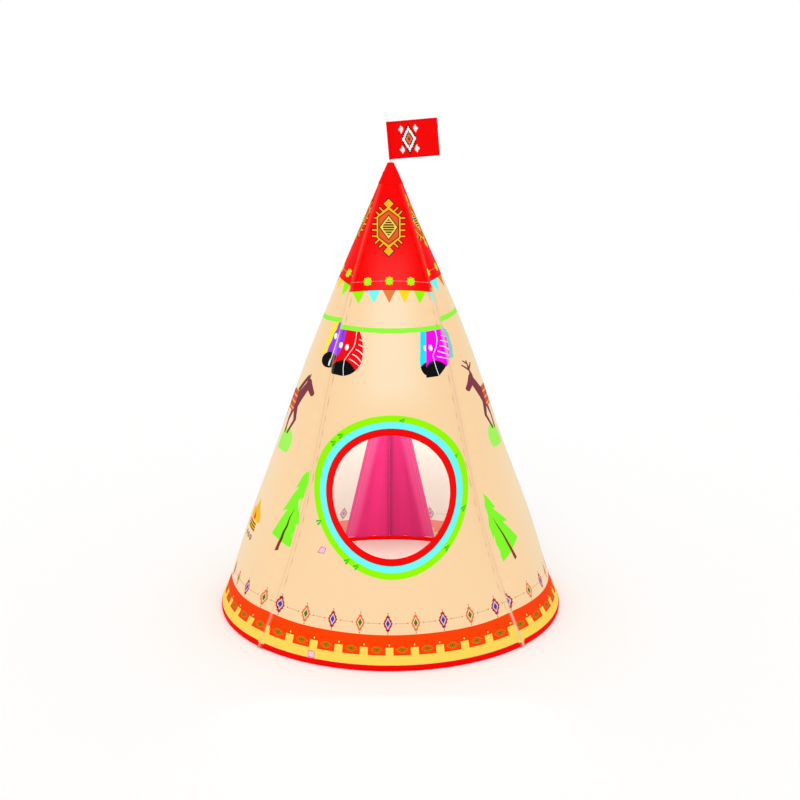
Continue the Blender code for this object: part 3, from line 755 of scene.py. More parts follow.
class Nodes:
    """The nodes of one tree, added as its values are worked out."""

    def __init__(self, tree):
        self.tree = tree

    def node(self, kind, inputs, output=0, **settings_):
        """Any node: its settings first, then the value or link of each of its sockets."""
        made = self.tree.nodes.new(kind)
        for setting, value in settings_.items():
            setattr(made, setting, value)
        for place, value in inputs.items():
            self.feed(made.inputs[place], value)
        return Signal(self, made.outputs[output])

    def feed(self, socket, value):
        if isinstance(value, Signal):
            self.tree.links.new(value.socket, socket)
        elif isinstance(value, (int, float)):
            socket.default_value = value
        else:
            value = tuple(value)
            socket.default_value = value if len(value) == len(socket.default_value) else (*value, 1.0)

    def math(self, operation, *values):
        return self.node("ShaderNodeMath", dict(enumerate(values)), operation=operation)

    def least(self, *values):
        return reduce(operator("MINIMUM"), values)

    def most(self, *values):
        return reduce(operator("MAXIMUM"), values)

    def vector(self, operation, *values, output=0):
        return self.node("ShaderNodeVectorMath", dict(enumerate(values)), output, operation=operation)

    def mix(self, mask, under, over):
        return self.node("ShaderNodeMix", {0: mask, 6: under, 7: over}, 2, data_type="RGBA")

    def ease(self, value, low, high):
        """0 below low, 1 above high and an even S between them."""
        return self.node("ShaderNodeMapRange", {0: value, 1: low, 2: high}, interpolation_type="SMOOTHSTEP")

    def split(self, vector):
        """The three numbers of a vector."""
        made = self.node("ShaderNodeSeparateXYZ", {0: vector})
        return [Signal(self, socket) for socket in made.socket.node.outputs]

    def rays(self, *kinds):
        """1 for a ray of one of some kinds."""
        sockets = self.node("ShaderNodeLightPath", {}).socket.node.outputs
        return self.most(*(Signal(self, sockets[f"Is {kind} Ray"]) for kind in kinds))

    def place(self):
        """Object coordinates."""
        return self.node("ShaderNodeTexCoord", {}, "Object")

    def mark(self, name, output="Fac"):
        return self.node("ShaderNodeAttribute", {}, output, attribute_name=name)

    def noise(self, vector, scale, detail=2.0):
        return self.node("ShaderNodeTexNoise", {"Vector": vector, "Scale": scale, "Detail": detail}, "Fac")

    def streaks(self, scale, detail):
        """Noise over object coordinates that are drawn out differently along each axis."""
        spot = self.node("ShaderNodeMapping", {"Vector": self.place(), "Scale": scale})
        return self.noise(spot, 1.0, detail)

    def join(self, u, v):
        return self.node("ShaderNodeCombineXYZ", {0: u, 1: v})

    def curve(self, value, points, low=0.0, high=1.0):
        """A drawn line from low to high, read at a value from 0 to 1."""
        made = self.node("ShaderNodeFloatCurve", {"Factor": 1.0, "Value": value})
        mapping = made.socket.node.mapping
        line = mapping.curves[0].points
        while len(line) < len(points):
            line.new(0.5, 0.5)
        for knot, (place, level) in zip(line, points):
            knot.location = (place, (level - low) / (high - low))
            knot.handle_type = "AUTO_CLAMPED"
        mapping.update()
        return made * (high - low) + low

    def ramp(self, value, colours):
        """One of a row of colours, for a value from 0 to 1."""
        made = self.node("ShaderNodeValToRGB", {0: value})
        line = made.socket.node.color_ramp
        line.interpolation = "CONSTANT"
        while len(line.elements) < len(colours):
            line.elements.new(1.0)
        for k, colour in enumerate(colours):
            line.elements[k].position = k / len(colours)
            line.elements[k].color = (*colour, 1.0)
        return made

    def stroke(self, spot, start, end, half_width, far_half_width=None):
        """Distance outside a round-ended line, which may taper."""
        start, end = Vector((*start, 0)), Vector((*end, 0))
        run = end - start
        way = self.vector("SUBTRACT", spot, start)
        part = self.vector("DOT_PRODUCT", way, run / run.length_squared, output="Value")
        part = self.node("ShaderNodeClamp", {0: part})
        nearest = self.node("ShaderNodeVectorMath", {0: run, "Scale": part}, operation="SCALE")
        off = self.vector("LENGTH", self.vector("SUBTRACT", way, nearest), output="Value")
        if far_half_width is None:
            return off - half_width
        return off - (half_width + part * (far_half_width - half_width))


class Graph(Nodes):
    """The nodes of one material, ending in its shader."""

    def __init__(self, name, roughness, metallic=0.0, coat=0.0):
        self.material = bpy.data.materials.new(name)
        self.material.use_nodes = True
        super().__init__(self.material.node_tree)
        self.shader = self.tree.nodes["Principled BSDF"]
        constants = {"Roughness": roughness, "Metallic": metallic, "Specular IOR Level": 0.05,
                     "Coat Weight": coat}
        for socket, value in constants.items():
            self.shader.inputs[socket].default_value = value

    def surface(self, colour, height=None, strength=0.3, distance=0.0004, roughness=None):
        """Feeds the shader: colour, and bumps of a height."""
        self.feed(self.shader.inputs["Base Color"], colour)
        if roughness is not None:
            self.feed(self.shader.inputs["Roughness"], roughness)
        if height is not None:
            bump = self.node("ShaderNodeBump", {"Strength": strength, "Distance": distance,
                                                "Height": height}, "Normal")
            self.feed(self.shader.inputs["Normal"], bump)
        return self.material


class Paint:
    """A print: each ink covers what is under it wherever its mask is 1."""

    def __init__(self, graph, ground):
        self.graph = graph
        self.colour = ground

    def over(self, mask, colour):
        self.colour = self.graph.mix(mask, self.colour, colour)


def repeat(value, pitch):
    """Signed distance to the middle of the nearest repeat."""
    return (value + pitch / 2) % pitch - pitch / 2


def oval(u, v, half_width, half_height):
    """Below 1 inside an oval, and 1 on its outline."""
    return (u / half_width) ** 2 + (v / half_height) ** 2


def sewn(row, along, pitch=0.0044, dash=0.36):
    """The threads of a row of stitches: a part of each pitch to both sides of its middle."""
    return row & (abs(repeat(along, pitch)) < pitch * dash)


def dimmed(colour, part):
    """A colour with each level taken down to a part of it."""
    return [level * part for level in colour]


def number(graph, value, pitch):
    """Which repeat a value is in."""
    return graph.math("FLOOR", value / pitch + 0.5)


def rhombus(side, height, half_width, half_height):
    """Distance outside a rhombus, with side and height not below zero."""
    scale = half_width * half_height / math.hypot(half_width, half_height)
    return (side / half_width + height / half_height - 1) * scale


def polygon(graph, u, v, corners):
    """Distance outside a convex outline whose corners run counter-clockwise."""
    edges = []
    for (x, y), (far_x, far_y) in zip(corners, corners[1:] + corners[:1]):
        run = math.hypot(far_x - x, far_y - y)
        across, up = (far_y - y) / run, (x - far_x) / run
        edges.append(u * across + v * up - (x * across + y * up))
    return graph.most(*edges)


# Motifs of the print


def arched(side, height, lift, sag):
    """Height above a line that is lift up in the panel's middle and sags towards the seams."""
    seam = pole_seam(settings().print.cap_height) * math.sin(corner)
    return height - lift + sag * (side / seam) ** 2


def converging(side, height, level):
    """Side distance, carried along the lines that meet at the tip to where they cross a level."""
    top = settings().cover.cone_height
    return side * ((top - level) / (top - height))


def paint_cap(graph, paint, side, height, bunting, flowers, lift, sag):
    """The red cap with its fine line of flowers, and the bunting that hangs under it."""
    page, inks = settings().print, settings().colours
    edge, line = 0.0011, 0.0008
    rise = arched(side, height, page.cap_height + lift, sag)
    place = side - bunting
    flag = abs(repeat(place, page.flag_pitch)) < (1 + rise / page.flag_drop) * (page.flag_width / 2)
    pick = number(graph, place, page.flag_pitch) % 4
    colours = (inks.orange, inks.yellow, inks.lime, inks.sky)
    paint.over(flag & (rise < 0.0), graph.ramp((pick + 0.5) / 4, colours))
    paint.over(abs(rise) < edge, inks.maroon)
    # Painted highlight: the red is paler low on the cap towards the panel's middle
    middle = ~graph.ease(abs(side), 0.02, 0.085) & ~graph.ease(rise, 0.03, 0.16)
    paint.over(rise > 0.0, graph.mix(middle, inks.red, inks.red_pale))
    rise, size = rise - page.line_rise, page.flower_pitch * 0.18
    paint.over(abs(rise) < line, inks.rose)
    across, rise = abs(repeat(side - flowers, page.flower_pitch)), abs(rise)
    near = abs(side - flowers) < page.flower_pitch * 1.5
    long, short = graph.most(across, rise), graph.least(across, rise)
    cross = graph.most(long, short * 3.0) < size
    petals = graph.most(long, (long - short) * 3.2) < size * 0.86
    paint.over(cross & near, inks.lime)
    paint.over(petals & near, inks.yellow)
    paint.over((long < size * 0.36) & near, inks.green)


def paint_medallion(graph, paint, side, height):
    """A woven medallion: a toothed hexagon round a striped rhombus, the same in each quarter."""
    page, inks = settings().print, settings().colours
    wide, tall = page.medallion_half_width, page.medallion_half_height
    u, v = abs(side), abs(height - page.medallion_height)
    line, tooth = wide * 0.050, tall * 0.026

    def hexagon(width, shoulder, point):
        run, rise = wide * width, tall * (point - shoulder)
        slope = (u * rise + v * run - run * tall * point) / math.hypot(run, rise)
        return graph.most(u - run, slope)

    def outlined(away, colour):
        paint.over(away < line, inks.maroon)
        paint.over(away < 0.0, colour)

    rows = abs(repeat(v - tall * 0.107, tall * 0.215))
    teeth = graph.most(rows - tooth, u - wide * 0.97, 0.5 * wide - u, v - tall * 0.40)
    crown = rhombus(u, abs(v - tall * 0.83), wide * 0.29, tall * 0.175)
    spot = graph.join(u, v)
    inner = graph.stroke(spot, (wide * 0.24, tall * 0.52), (wide * 0.52, tall * 0.685), tooth)
    outer = graph.stroke(spot, (wide * 0.52, tall * 0.41), (wide * 0.75, tall * 0.555), tooth)
    outlined(graph.least(hexagon(0.69, 0.37, 0.74), crown, teeth, inner, outer), inks.gold)
    outlined(hexagon(0.55, 0.33, 0.58), inks.rust)
    outlined(rhombus(u, v, wide * 0.50, tall * 0.405), inks.corn)
    inside = rhombus(u, v, wide * 0.42, tall * 0.30) < 0.0
    paint.over((abs(repeat(v, tall * 0.086)) < tall * 0.028) & inside & (u < wide * 0.33), inks.umber)


def paint_feather(graph, paint, across, drop, ground, left, right, quill, first, slope, spot):
    """One feather between two drawn edges, with a dark tip, a quill and barbs to its right."""
    colours = settings().colours
    left, right, quill = (graph.curve(drop, line, -0.1, 0.1) for line in (left, right, quill))
    body = (across > left) & (across < right) & (drop > -0.02) & (drop < 1.0)
    off = across - quill
    paint.over(body, ground)
    phase = drop - first - off * slope - off * off * 60
    barb = (abs(repeat(phase, 0.11)) < 0.009) & (off > 0.010) & (phase > -0.05) & (phase < 0.49)
    paint.over(body & barb, colours.white)
    paint.over(body & (drop - 0.655 - off * off * 180 > 0.0), colours.black)
    paint.over(oval(across - spot, drop - 0.37, 0.0050, 0.068) < 1.0, colours.white)
    paint.over(body & (abs(off) < 0.0009), colours.white)


def paint_left_feathers(graph, paint, across, height, lift):
    """Red, violet and yellow feathers over the left front seam; across is 0 on the seam."""
    page, inks = settings().print, settings().colours
    drop = (page.band_height + 0.001 - height) / page.feather_length
    top = lift / page.feather_length
    under = (drop > -top) & (drop < 0.62) & (across < 0.024)
    paint.over(under & (across > drop * -0.0175 - 0.0237), inks.lemon)
    paint.over(under & (across > drop * -0.0213 - 0.0099), inks.violet)
    paint.over(oval(across + 0.0110, drop - 0.71, 0.0200, 0.175) < 1.0, inks.black)
    for side, level in ((-0.0075, 0.17), (0.0105, 0.345)):
        paint.over(oval(across - side, drop - level, 0.0040, 0.070) < 1.0, inks.white)
    quill = (abs(across - 0.002 + drop * 0.013) < 0.0010) & (drop > -top) & (drop < 0.84)
    paint.over(quill & (across < 0.001), inks.white)
    left = [(0.0, 0.0165), (0.38, 0.0152), (0.68, 0.004), (0.84, 0.0), (0.97, 0.001), (1.0, 0.004)]
    right = [(0.0, 0.052), (0.17, 0.063), (0.38, 0.071), (0.62, 0.074), (0.80, 0.067), (0.93, 0.052),
             (1.0, 0.034)]
    quill = [(0.0, 0.044), (0.27, 0.046), (0.53, 0.0345), (0.68, 0.0275), (0.84, 0.029), (1.0, 0.0335)]
    paint_feather(graph, paint, across, drop, inks.crimson, left, right, quill, 0.16, 0.9, 0.027)


def paint_right_feathers(graph, paint, across, height, lift):
    """Magenta and cyan feathers over the right front seam; across is 0 on the seam."""
    page, inks = settings().print, settings().colours
    drop = (page.band_height + 0.001 - height) / page.feather_length
    top = lift / page.feather_length
    edge = [(0.0, -0.001), (0.08, 0.004), (0.26, 0.008), (0.49, 0.007), (0.70, 0.0024), (0.82, -0.0085),
            (1.0, -0.033)]
    beyond = (across - graph.curve(drop, edge, -0.1, 0.1)) < 0.0085
    paint.over(beyond & (across > 0.0) & (drop > -top) & (drop < 0.66), inks.teal)
    left = [(0.0, -0.058), (0.39, -0.0689), (0.735, -0.0773), (0.91, -0.0723), (0.977, -0.0603),
            (1.0, -0.045)]
    border = [(0.0, -0.0425), (0.39, -0.053), (0.64, -0.0595), (1.0, -0.068)]
    quill = [(0.0, -0.0168), (0.176, -0.0171), (0.345, -0.0232), (0.58, -0.0379), (0.735, -0.0372),
             (1.0, -0.0329)]
    cyan = [(0.0, -0.0280), (0.39, -0.0385), (0.64, -0.0500), (1.0, -0.0585)]
    paint_feather(graph, paint, across, drop, inks.cyan, left, border, cyan, 2.0, 0.0, -0.0535)
    paint_feather(graph, paint, across, drop, inks.magenta, border, edge, quill, 0.12, 0.9, -0.040)


def paint_band(paint, side, height, lift, sag):
    """The green band over the feathers."""
    page, inks = settings().print, settings().colours
    rise = arched(side, height, page.band_height + lift, sag)
    paint.over((rise > 0.0) & (rise < page.band_width), inks.green)


def paint_rings(graph, paint, side, height):
    """Rings of green, sky and red round the window, with tufts of grass on the green one."""
    page, inks, window = settings().print, settings().colours, settings().window
    rise = (height - window.centre_height) * (window.width / window.height)
    away = graph.math("SQRT", side * side + rise * rise) - window.width / 2
    width = page.ring_width
    paint.over(away < 2.94 * width, inks.lime)
    spot = graph.join(side, height)
    roots = ((-0.135, 0.567), (-0.154, 0.546), (0.0302, 0.613), (0.174, 0.506), (-0.193, 0.343),
             (-0.117, 0.262), (-0.092, 0.251), (0.1955, 0.375), (0.1475, 0.29))
    blades = ((-0.0065, -0.0005, 0.006, 0.0045), (-0.003, -0.007, 0.004, 0.0005))
    thick, thin = 0.0026, 0.0010
    tufts = [graph.stroke(spot, (x + a, z + b), (x + c, z + d), thick, thin)
             for x, z in roots for a, b, c, d in blades]
    paint.over(graph.least(*tufts) < 0.0, inks.grass)
    paint.over(away < 1.96 * width, inks.sky)
    paint.over(away < width, inks.maroon)


def paint_diamonds(graph, paint, side, height, shift, first):
    """A row of stepped diamonds in two colourings, joined by fine arrows."""
    page, inks = settings().print, settings().colours
    place = converging(side, height, page.diamond_height) - shift
    pitch, wide, tall = page.diamond_pitch, page.diamond_half_width, page.diamond_half_height
    cell = wide / 5.5
    across, rise = abs(repeat(place, pitch)), abs(height - page.diamond_height)
    odd = (number(graph, place, pitch) + first) % 2 > 0.5
    column, row = (graph.math("FLOOR", away / cell + 0.5) for away in (across, rise))
    metric = column * (cell / wide) + row * (cell / tall)
    dots = (column + row) % 2 > 0.5
    outline = graph.mix(odd, inks.berry, inks.coral)
    body = rhombus(across, rise, wide, tall)
    paint.over((metric < 1.08) & dots | (body < wide * -0.05), outline)
    paint.over(body < wide * -0.33, graph.mix(odd, inks.blush, inks.peach))
    paint.over(body < wide * -0.52, graph.mix(odd, inks.blue, inks.moss))
    paint.over(graph.most(across, abs(rise - tall * 1.05)) < cell * 0.5, inks.umber)
    link = abs(repeat(place + pitch / 2, pitch))
    paint.over((rise < 0.0006) & (link < pitch * 0.19), inks.tan)
    paint.over(rhombus(abs(link - pitch * 0.215), rise, 0.0020, 0.0024) < 0.0, inks.olive)


def paint_border(paint, side, height, shift):
    """The crenellated border with an eye in each gap and a drop over each merlon."""
    page, inks = settings().print, settings().colours
    place, pitch, top = converging(side, height, page.border_foot) - shift, page.merlon_pitch, page.merlon_top
    across = abs(repeat(place, pitch))
    paint.over(height < page.border_top, inks.flame)
    paint.over((across < page.merlon_width / 2) & (height < top) | (height < page.border_foot), inks.corn)
    off = abs(repeat(place + pitch / 2, pitch))
    wide, tall = off / 0.0165, abs(height - top + 0.0052) / 0.0074
    lens = wide * wide + tall
    paint.over((lens < 1.0) & (lens > 0.70), inks.olive)
    ball = wide * wide * 4.4 + tall * tall * 1.7
    paint.over(ball < 1.0, inks.olive)
    paint.over((ball < 0.66) & (ball > 0.42) | (ball < 0.10), inks.umber)
    drop = oval(across, height - top - 0.0058, 0.0030, 0.0044)
    paint.over(drop < 1.0, inks.umber)
    paint.over(drop < 0.45, inks.corn)


def paint_tree(graph, paint, side, height, place):
    """A pine: pointed tiers round a leaning trunk."""
    inks = settings().colours
    tiers = [[(0.2183, 0.3935), (0.2096, 0.3492), (0.2181, 0.3487), (0.2279, 0.3570)],
             [(0.2181, 0.3487), (0.1970, 0.3057), (0.2121, 0.3083), (0.2383, 0.3208), (0.2279, 0.3570)],
             [(0.2121, 0.3083), (0.1898, 0.2559), (0.2630, 0.2083), (0.2383, 0.3208)],
             [(0.2383, 0.3208), (0.2440, 0.2863), (0.2540, 0.2683)]]
    trunk = [(0.2286, 0.3274), (0.2240, 0.2090), (0.2330, 0.2040)]
    if place == "left":
        tiers = [[(0.2086, 0.4601), (0.2052, 0.4024), (0.2107, 0.4090), (0.2194, 0.4280)],
                 [(0.2107, 0.4090), (0.2044, 0.3376), (0.2138, 0.3457), (0.2254, 0.3742), (0.2265, 0.3827),
                  (0.2194, 0.4280)],
                 [(0.2138, 0.3457), (0.2072, 0.2752), (0.2606, 0.2528), (0.2254, 0.3742)],
                 [(0.2330, 0.3480), (0.2410, 0.3120), (0.2482, 0.3144), (0.2419, 0.3303)]]
        trunk = [(0.2249, 0.3560), (0.2366, 0.2345), (0.2442, 0.2385)]
    side = abs(side)
    paint.over(graph.least(*[polygon(graph, side, height, tier) for tier in tiers]) < 0.0, inks.pine)
    shade = graph.mix(graph.ease(height, 0.24, 0.30), inks.bark, inks.umber)
    paint.over(polygon(graph, side, height, trunk) < 0.0, shade)


def paint_animal(graph, paint, side, height, horns):
    """A pony or a stag in a blanket on two green mounds, turned to the panel's front edge."""
    page, inks = settings().print, settings().colours
    hill = oval(abs(side - 0.040) - 0.059, height - 0.505, 0.038, 0.042)
    paint.over((hill < 1.0) & (height > 0.484), inks.meadow)
    u = (side - page.animal_side) / page.animal_height
    v = (height - page.animal_foot) / page.animal_height
    spot = graph.join(u, v)
    lines = [((-0.24, 0.52), (0.16, 0.52), 0.130, 0.135), ((0.20, 0.56), (0.34, 0.80), 0.110, 0.070),
             ((0.34, 0.84), (0.50, 0.70), 0.066, 0.040), ((0.30, 0.88), (0.31, 0.97), 0.032, 0.010),
             ((0.20, 0.44), (0.33, 0.24), 0.068, 0.036), ((0.33, 0.24), (0.25, 0.02), 0.034, 0.030),
             ((0.14, 0.42), (0.10, 0.20), 0.066, 0.036), ((0.10, 0.20), (0.14, 0.01), 0.034, 0.030),
             ((-0.27, 0.46), (-0.20, 0.23), 0.085, 0.038), ((-0.20, 0.23), (-0.27, 0.02), 0.034, 0.030),
             ((-0.30, 0.46), (-0.40, 0.25), 0.080, 0.038), ((-0.40, 0.25), (-0.36, 0.03), 0.034, 0.030),
             ((-0.34, 0.57), (-0.48, 0.32), 0.040, 0.050)]
    if horns:
        lines += [((0.32, 0.88), (0.30, 1.10), 0.024, 0.016), ((0.31, 0.96), (0.43, 1.06), 0.020, 0.012),
                  ((0.31, 0.98), (0.19, 1.06), 0.020, 0.012), ((0.30, 1.06), (0.38, 1.12), 0.018, 0.010)]
    else:
        lines += [((0.08, 0.66), (0.27, 0.92), 0.050, 0.034)]
    paint.over(graph.least(*[graph.stroke(spot, *line) for line in lines]) < 0.0, inks.bay)
    cloth = graph.most(abs(u + 0.01) - 0.150 + (v - 0.42) * 0.15, v - 0.670, 0.34 - v)
    paint.over(cloth < 0.0, inks.blanket)
    paint.over((cloth < 0.0) & (abs(repeat(v, 0.095)) < 0.012), inks.amber)


def paint_fire(graph, paint, side, height):
    """A camp fire: tongues of flame over striped logs and a few stones."""
    page, inks = settings().print, settings().colours
    u = (side - page.fire_side) / page.fire_height
    v = (height - page.fire_foot) / page.fire_height
    shape = [(0.0, 0.45), (0.12, 0.95), (0.30, 1.0), (0.55, 0.60), (0.80, 0.24), (1.0, 0.0)]
    tongues = ((0.05, 0.50, 0.50, 0.27), (-0.20, 0.50, 0.30, 0.14), (0.24, 0.50, 0.26, 0.12),
               (0.0, 0.51, 0.20, 0.07))
    for shift, foot, tall, wide in tongues:
        rise = (v - foot) / tall
        bend = graph.math("SINE", rise * 5.0) * 0.03
        flame = (abs(u - shift - bend) < graph.curve(rise, shape) * wide) & (rise > 0.0) & (rise < 1.0)
        paint.over(flame, inks.flame if wide == 0.07 else inks.amber)
    logs = graph.most(abs(u + (v - 0.38) * 0.3) - 0.28, abs(v - 0.38) - 0.10)
    paint.over(logs < 0.0, inks.amber)
    paint.over((logs < 0.0) & (abs(repeat(v - 0.38, 0.064)) < 0.014), inks.umber)
    stones = oval(repeat(u, 0.20), v - 0.13, 0.075, 0.062) + (abs(u) > 0.30) * 4
    paint.over(stones < 1.0, inks.umber)
    paint.over(stones < 0.40, inks.tan)


def panel_axes(graph, place):
    """Side distance and height of a panel's cloth, from object coordinates."""
    x, y, z = graph.split(graph.place())
    return {"front": x, "right": y, "rear": -x, "left": -y}[place], z


def cloth_bumps(graph, seed=0.0):
    """Height of the woven threads, with slow unevenness."""
    spot = graph.place()
    x, y, z = graph.split(spot)
    pitch = 0.0011
    threads = graph.math("SINE", (x + y) * (whole / pitch)) * graph.math("SINE", z * (whole / pitch))
    return threads * 0.35 + graph.noise(spot, 34.0 + seed, 3.0)


def layout(place):
    """Where a panel's print lies, which differs a little from panel to panel: the medallion's side
    distance and rise, the side distances of bunting and flowers, the lift and sag of the cap's and
    the band's edges, the side distance and colouring of the first diamond, and the border's side
    distance."""
    return {
        "front": (-0.0060, 0.0, -0.0050, -0.0047, (0.0, 0.0097), (-0.0006, -0.0015), -0.0103, 0.0, -0.0068),
        "left": (0.0020, 0.0135, 0.0085, 0.0177, (0.0211, 0.0157), (0.0145, -0.0029), -0.0103, 1.0, 0.0180),
        "right": (-0.035, 0.0135, -0.0475, -0.041, (0.0286, 0.0124), (0.0317, 0.0089), -0.0195, 0.0, -0.0246),
        "rear": (-0.0060, 0.0, -0.0050, -0.0047, (0.0, 0.0097), (0.0, 0.0), 0.0087, 0.0, -0.0068)}[place]


def paint_panel(graph, paint, place, side, height, corners, full):
    """The print of one panel, with the feathers over the named corners; the seam tape does
    without the motifs that lie away from the seams."""
    emblem, rise, bunting, flowers, cap, band, diamonds, first, border = layout(place)
    seam, inks = seam_side(graph, height), settings().colours
    if place != "front":
        paint_tree(graph, paint, side, height, place)
    if full and place == "left":
        paint_animal(graph, paint, side, height, False)
        paint_fire(graph, paint, side, height)
    if full and place == "right":
        paint_animal(graph, paint, -side, height - rise, True)
    lift = 0.0 if place == "front" else 0.020
    if "front_left" in corners:
        paint_left_feathers(graph, paint, side + seam if place == "front" else side - seam, height, lift)
    if "front_right" in corners:
        paint_right_feathers(graph, paint, side - seam if place == "front" else side + seam, height, lift)
    paint_band(paint, side, height, *band)
    paint_cap(graph, paint, side, height, bunting, flowers, *cap)
    if full or place == "right":
        paint_medallion(graph, paint, side - emblem, height - rise)
    if full and place == "front":
        paint_rings(graph, paint, side, height)
    paint_diamonds(graph, paint, side, height, diamonds, first)
    paint_border(paint, side, height, border)
    if full and place == "front":
        for patch in ([(-0.1968, 0.2680), (-0.1794, 0.2693), (-0.1732, 0.2839), (-0.1868, 0.2847)],
                      [(-0.2200, 0.0175), (-0.2030, 0.0175), (-0.2030, 0.0325), (-0.2200, 0.0325)]):
            away = polygon(graph, side, height, patch)
            paint.over(away < 0.0, inks.berry)
            paint.over(away < -0.0010, inks.patch)


def panel_material(place):
    """The printed cloth of one panel: full strength outside, and weaker on its reverse."""
    cover, inks = settings().cover, settings().colours
    graph = Graph(f"printed_cloth_{place}", 0.72)
    side, height = panel_axes(graph, place)
    # Painted highlight: the ground turns pale cream towards the panel's middle, on the front only above about 0.6 to
    # 0.72 m, with random variation; towards the seams it stays the darker cream
    reach = (1 - height / cover.cone_height) * 0.36 + 0.002
    middle = ~graph.ease(abs(side) / reach, 0.10, 0.86)
    patch = graph.ease(height, 0.60, 0.72) if place == "front" else 1.0
    ground = graph.mix(middle * patch * (graph.noise(graph.place(), 5.0) * 0.5 + 0.75), inks.cream, inks.pale)
    paint = Paint(graph, ground)
    corners = {"front": ("front_left", "front_right"), "left": ("front_left",), "right": ("front_right",)}
    paint_panel(graph, paint, place, side, height, corners.get(place, ()), True)
    away = graph.vector("DISTANCE", paint.colour, ground, output="Value")
    fade = graph.mark("reverse") * (1 - graph.ease(away, 0.03, 0.25) * 0.66)
    return graph.surface(graph.mix(fade, paint.colour, inks.reverse), cloth_bumps(graph), 0.22, 0.0003)


def seam_side(graph, height):
    """Side distance of the seam at a height, as a drawn line."""
    cover = settings().cover
    part = np.linspace(0, 1, 17)
    side = pole_seam(part * cover.cone_height) * math.sin(corner)
    return graph.curve(height / cover.cone_height, list(zip(part, side)), 0.0, cover.base_diameter / 2)


def plain_material(name, colour, roughness, stitched=None, edge=None, bold=0.6):
    """A plain dyed cloth with its weave, with stitches at one distance from its middle line and
    darker from another, if any."""
    graph = Graph(name, roughness)
    dark = dimmed(colour, 0.78)
    shown = graph.mix(graph.noise(graph.place(), 22.0, 3.0) * 0.2, colour, dark)
    bumps = cloth_bumps(graph, 3.0)
    if stitched is not None:
        along, across, _ = graph.split(graph.mark("cloth", "Vector"))
        thread, pitch = 0.00055, 0.0042
        row = abs(abs(across) - stitched) < thread
        stitch = sewn(row, along, pitch)
        shown = graph.mix(stitch * bold, shown, dark)
        bumps = bumps + (stitch * 1.6 - (row & ~stitch) * 1.2) * bold
        if edge is not None:
            shown = graph.mix(graph.ease(abs(across), edge, edge + 0.0012), shown, dimmed(colour, 0.45))
    return graph.surface(shown, bumps, 0.30, 0.0004)


def tape_material(k, place):
    """The seam tape: the print of the panel on each side, a little paler over the pole, with a
    groove and a row of stitches beside it."""
    cover, page, inks = settings().cover, settings().print, settings().colours
    graph = Graph(f"seam_tape_{place}", 0.70)
    height = graph.split(graph.place())[2]
    across, along, _ = graph.split(graph.mark("cloth", "Vector"))
    flat, seam = across * math.cos(corner), seam_side(graph, height)
    prints = []
    for panel, side in ((panel_names[k], flat + seam), (panel_names[(k + 1) % 4], flat - seam)):
        paint = Paint(graph, inks.cream)
        paint_panel(graph, paint, panel, side, height, (place,), False)
        prints.append(paint.colour)
    paint = Paint(graph, graph.mix(across > 0.0, *prints))
    paint.over(height < cover.hem_height, inks.red)
    cap, low = height > page.cap_height, height < page.border_top
    # Painted highlight and shade over the pole's ridge: the seam ink, strongest on the front right seam and low down,
    # weak on the cap
    bold = 0.55 if place == "front_right" else 0.16
    ridge = ~graph.ease(abs(across), cover.sleeve_radius * 0.2, cover.sleeve_radius * 1.2)
    paint.over(ridge * (low * 0.2 + bold - cap * (bold - 0.08)), inks.seam)
    # Painted shade: a tan line along the tape's middle, also bumped down as a groove, weaker on the front right seam
    # and on the cap
    groove = ~graph.ease(abs(across), 0.0, 0.0018)
    paint.over(groove * (0.65 - bold) * (1 - cap * 0.9), inks.tan)
    thread, dash, pitch = 0.0005, 0.0016, 0.0044
    row = abs(abs(across) - cover.sleeve_radius - cover.tape_flange * 0.5) < thread
    stitch = sewn(row, along, pitch, dash / pitch)
    paint.over(stitch * (0.24 - cap * 0.20), inks.thread)
    bumps = cloth_bumps(graph, 7.0) + stitch * 1.6 - (row & ~stitch) * 1.2 - groove * 1.5
    return graph.surface(paint.colour, bumps, 0.30, 0.0004)


# Pieces


def wrinkle(side, height, edge, seed):
    """Outward folds: small ones along the seams and slow ones over the panel, from sums of sines."""
    cover, place = settings().cover, height + seed
    seam_reach, end_reach = 0.026, 0.05
    near = np.exp(-((edge - np.abs(side)) / seam_reach) ** 2)
    small = np.sin(place * 151 + np.sin(place * 23) * 2 + side * 40) * near
    slow = np.sin(place * 9.0 + side * 7.0) * np.cos(side * 17.0 + place * 3.0)
    ends = smooth((height - wall_bottom()) / end_reach) * smooth((wall_top() - height) / end_reach)
    return (cover.pucker * small + cover.billow * slow * (1 - near)) * ends


def clear_of_window(side, height, reach):
    """0 at the window's bound edge and 1 beyond reach from it."""
    window = settings().window
    rise = (height - window.centre_height) * window.width / window.height
    away = np.hypot(side, rise) - window.width / 2 - window.binding
    return smooth(away / reach)


def clear_of_door(side, height, reach):
    """0 at the doorway's bound edge and 1 beyond reach from it, which above its point is a height."""
    door = settings().door
    away = np.abs(side) - door_half_width(height, door.binding)
    return np.where(height < door.height, smooth(away / reach), smooth((height - door.height) / reach + 0.2))


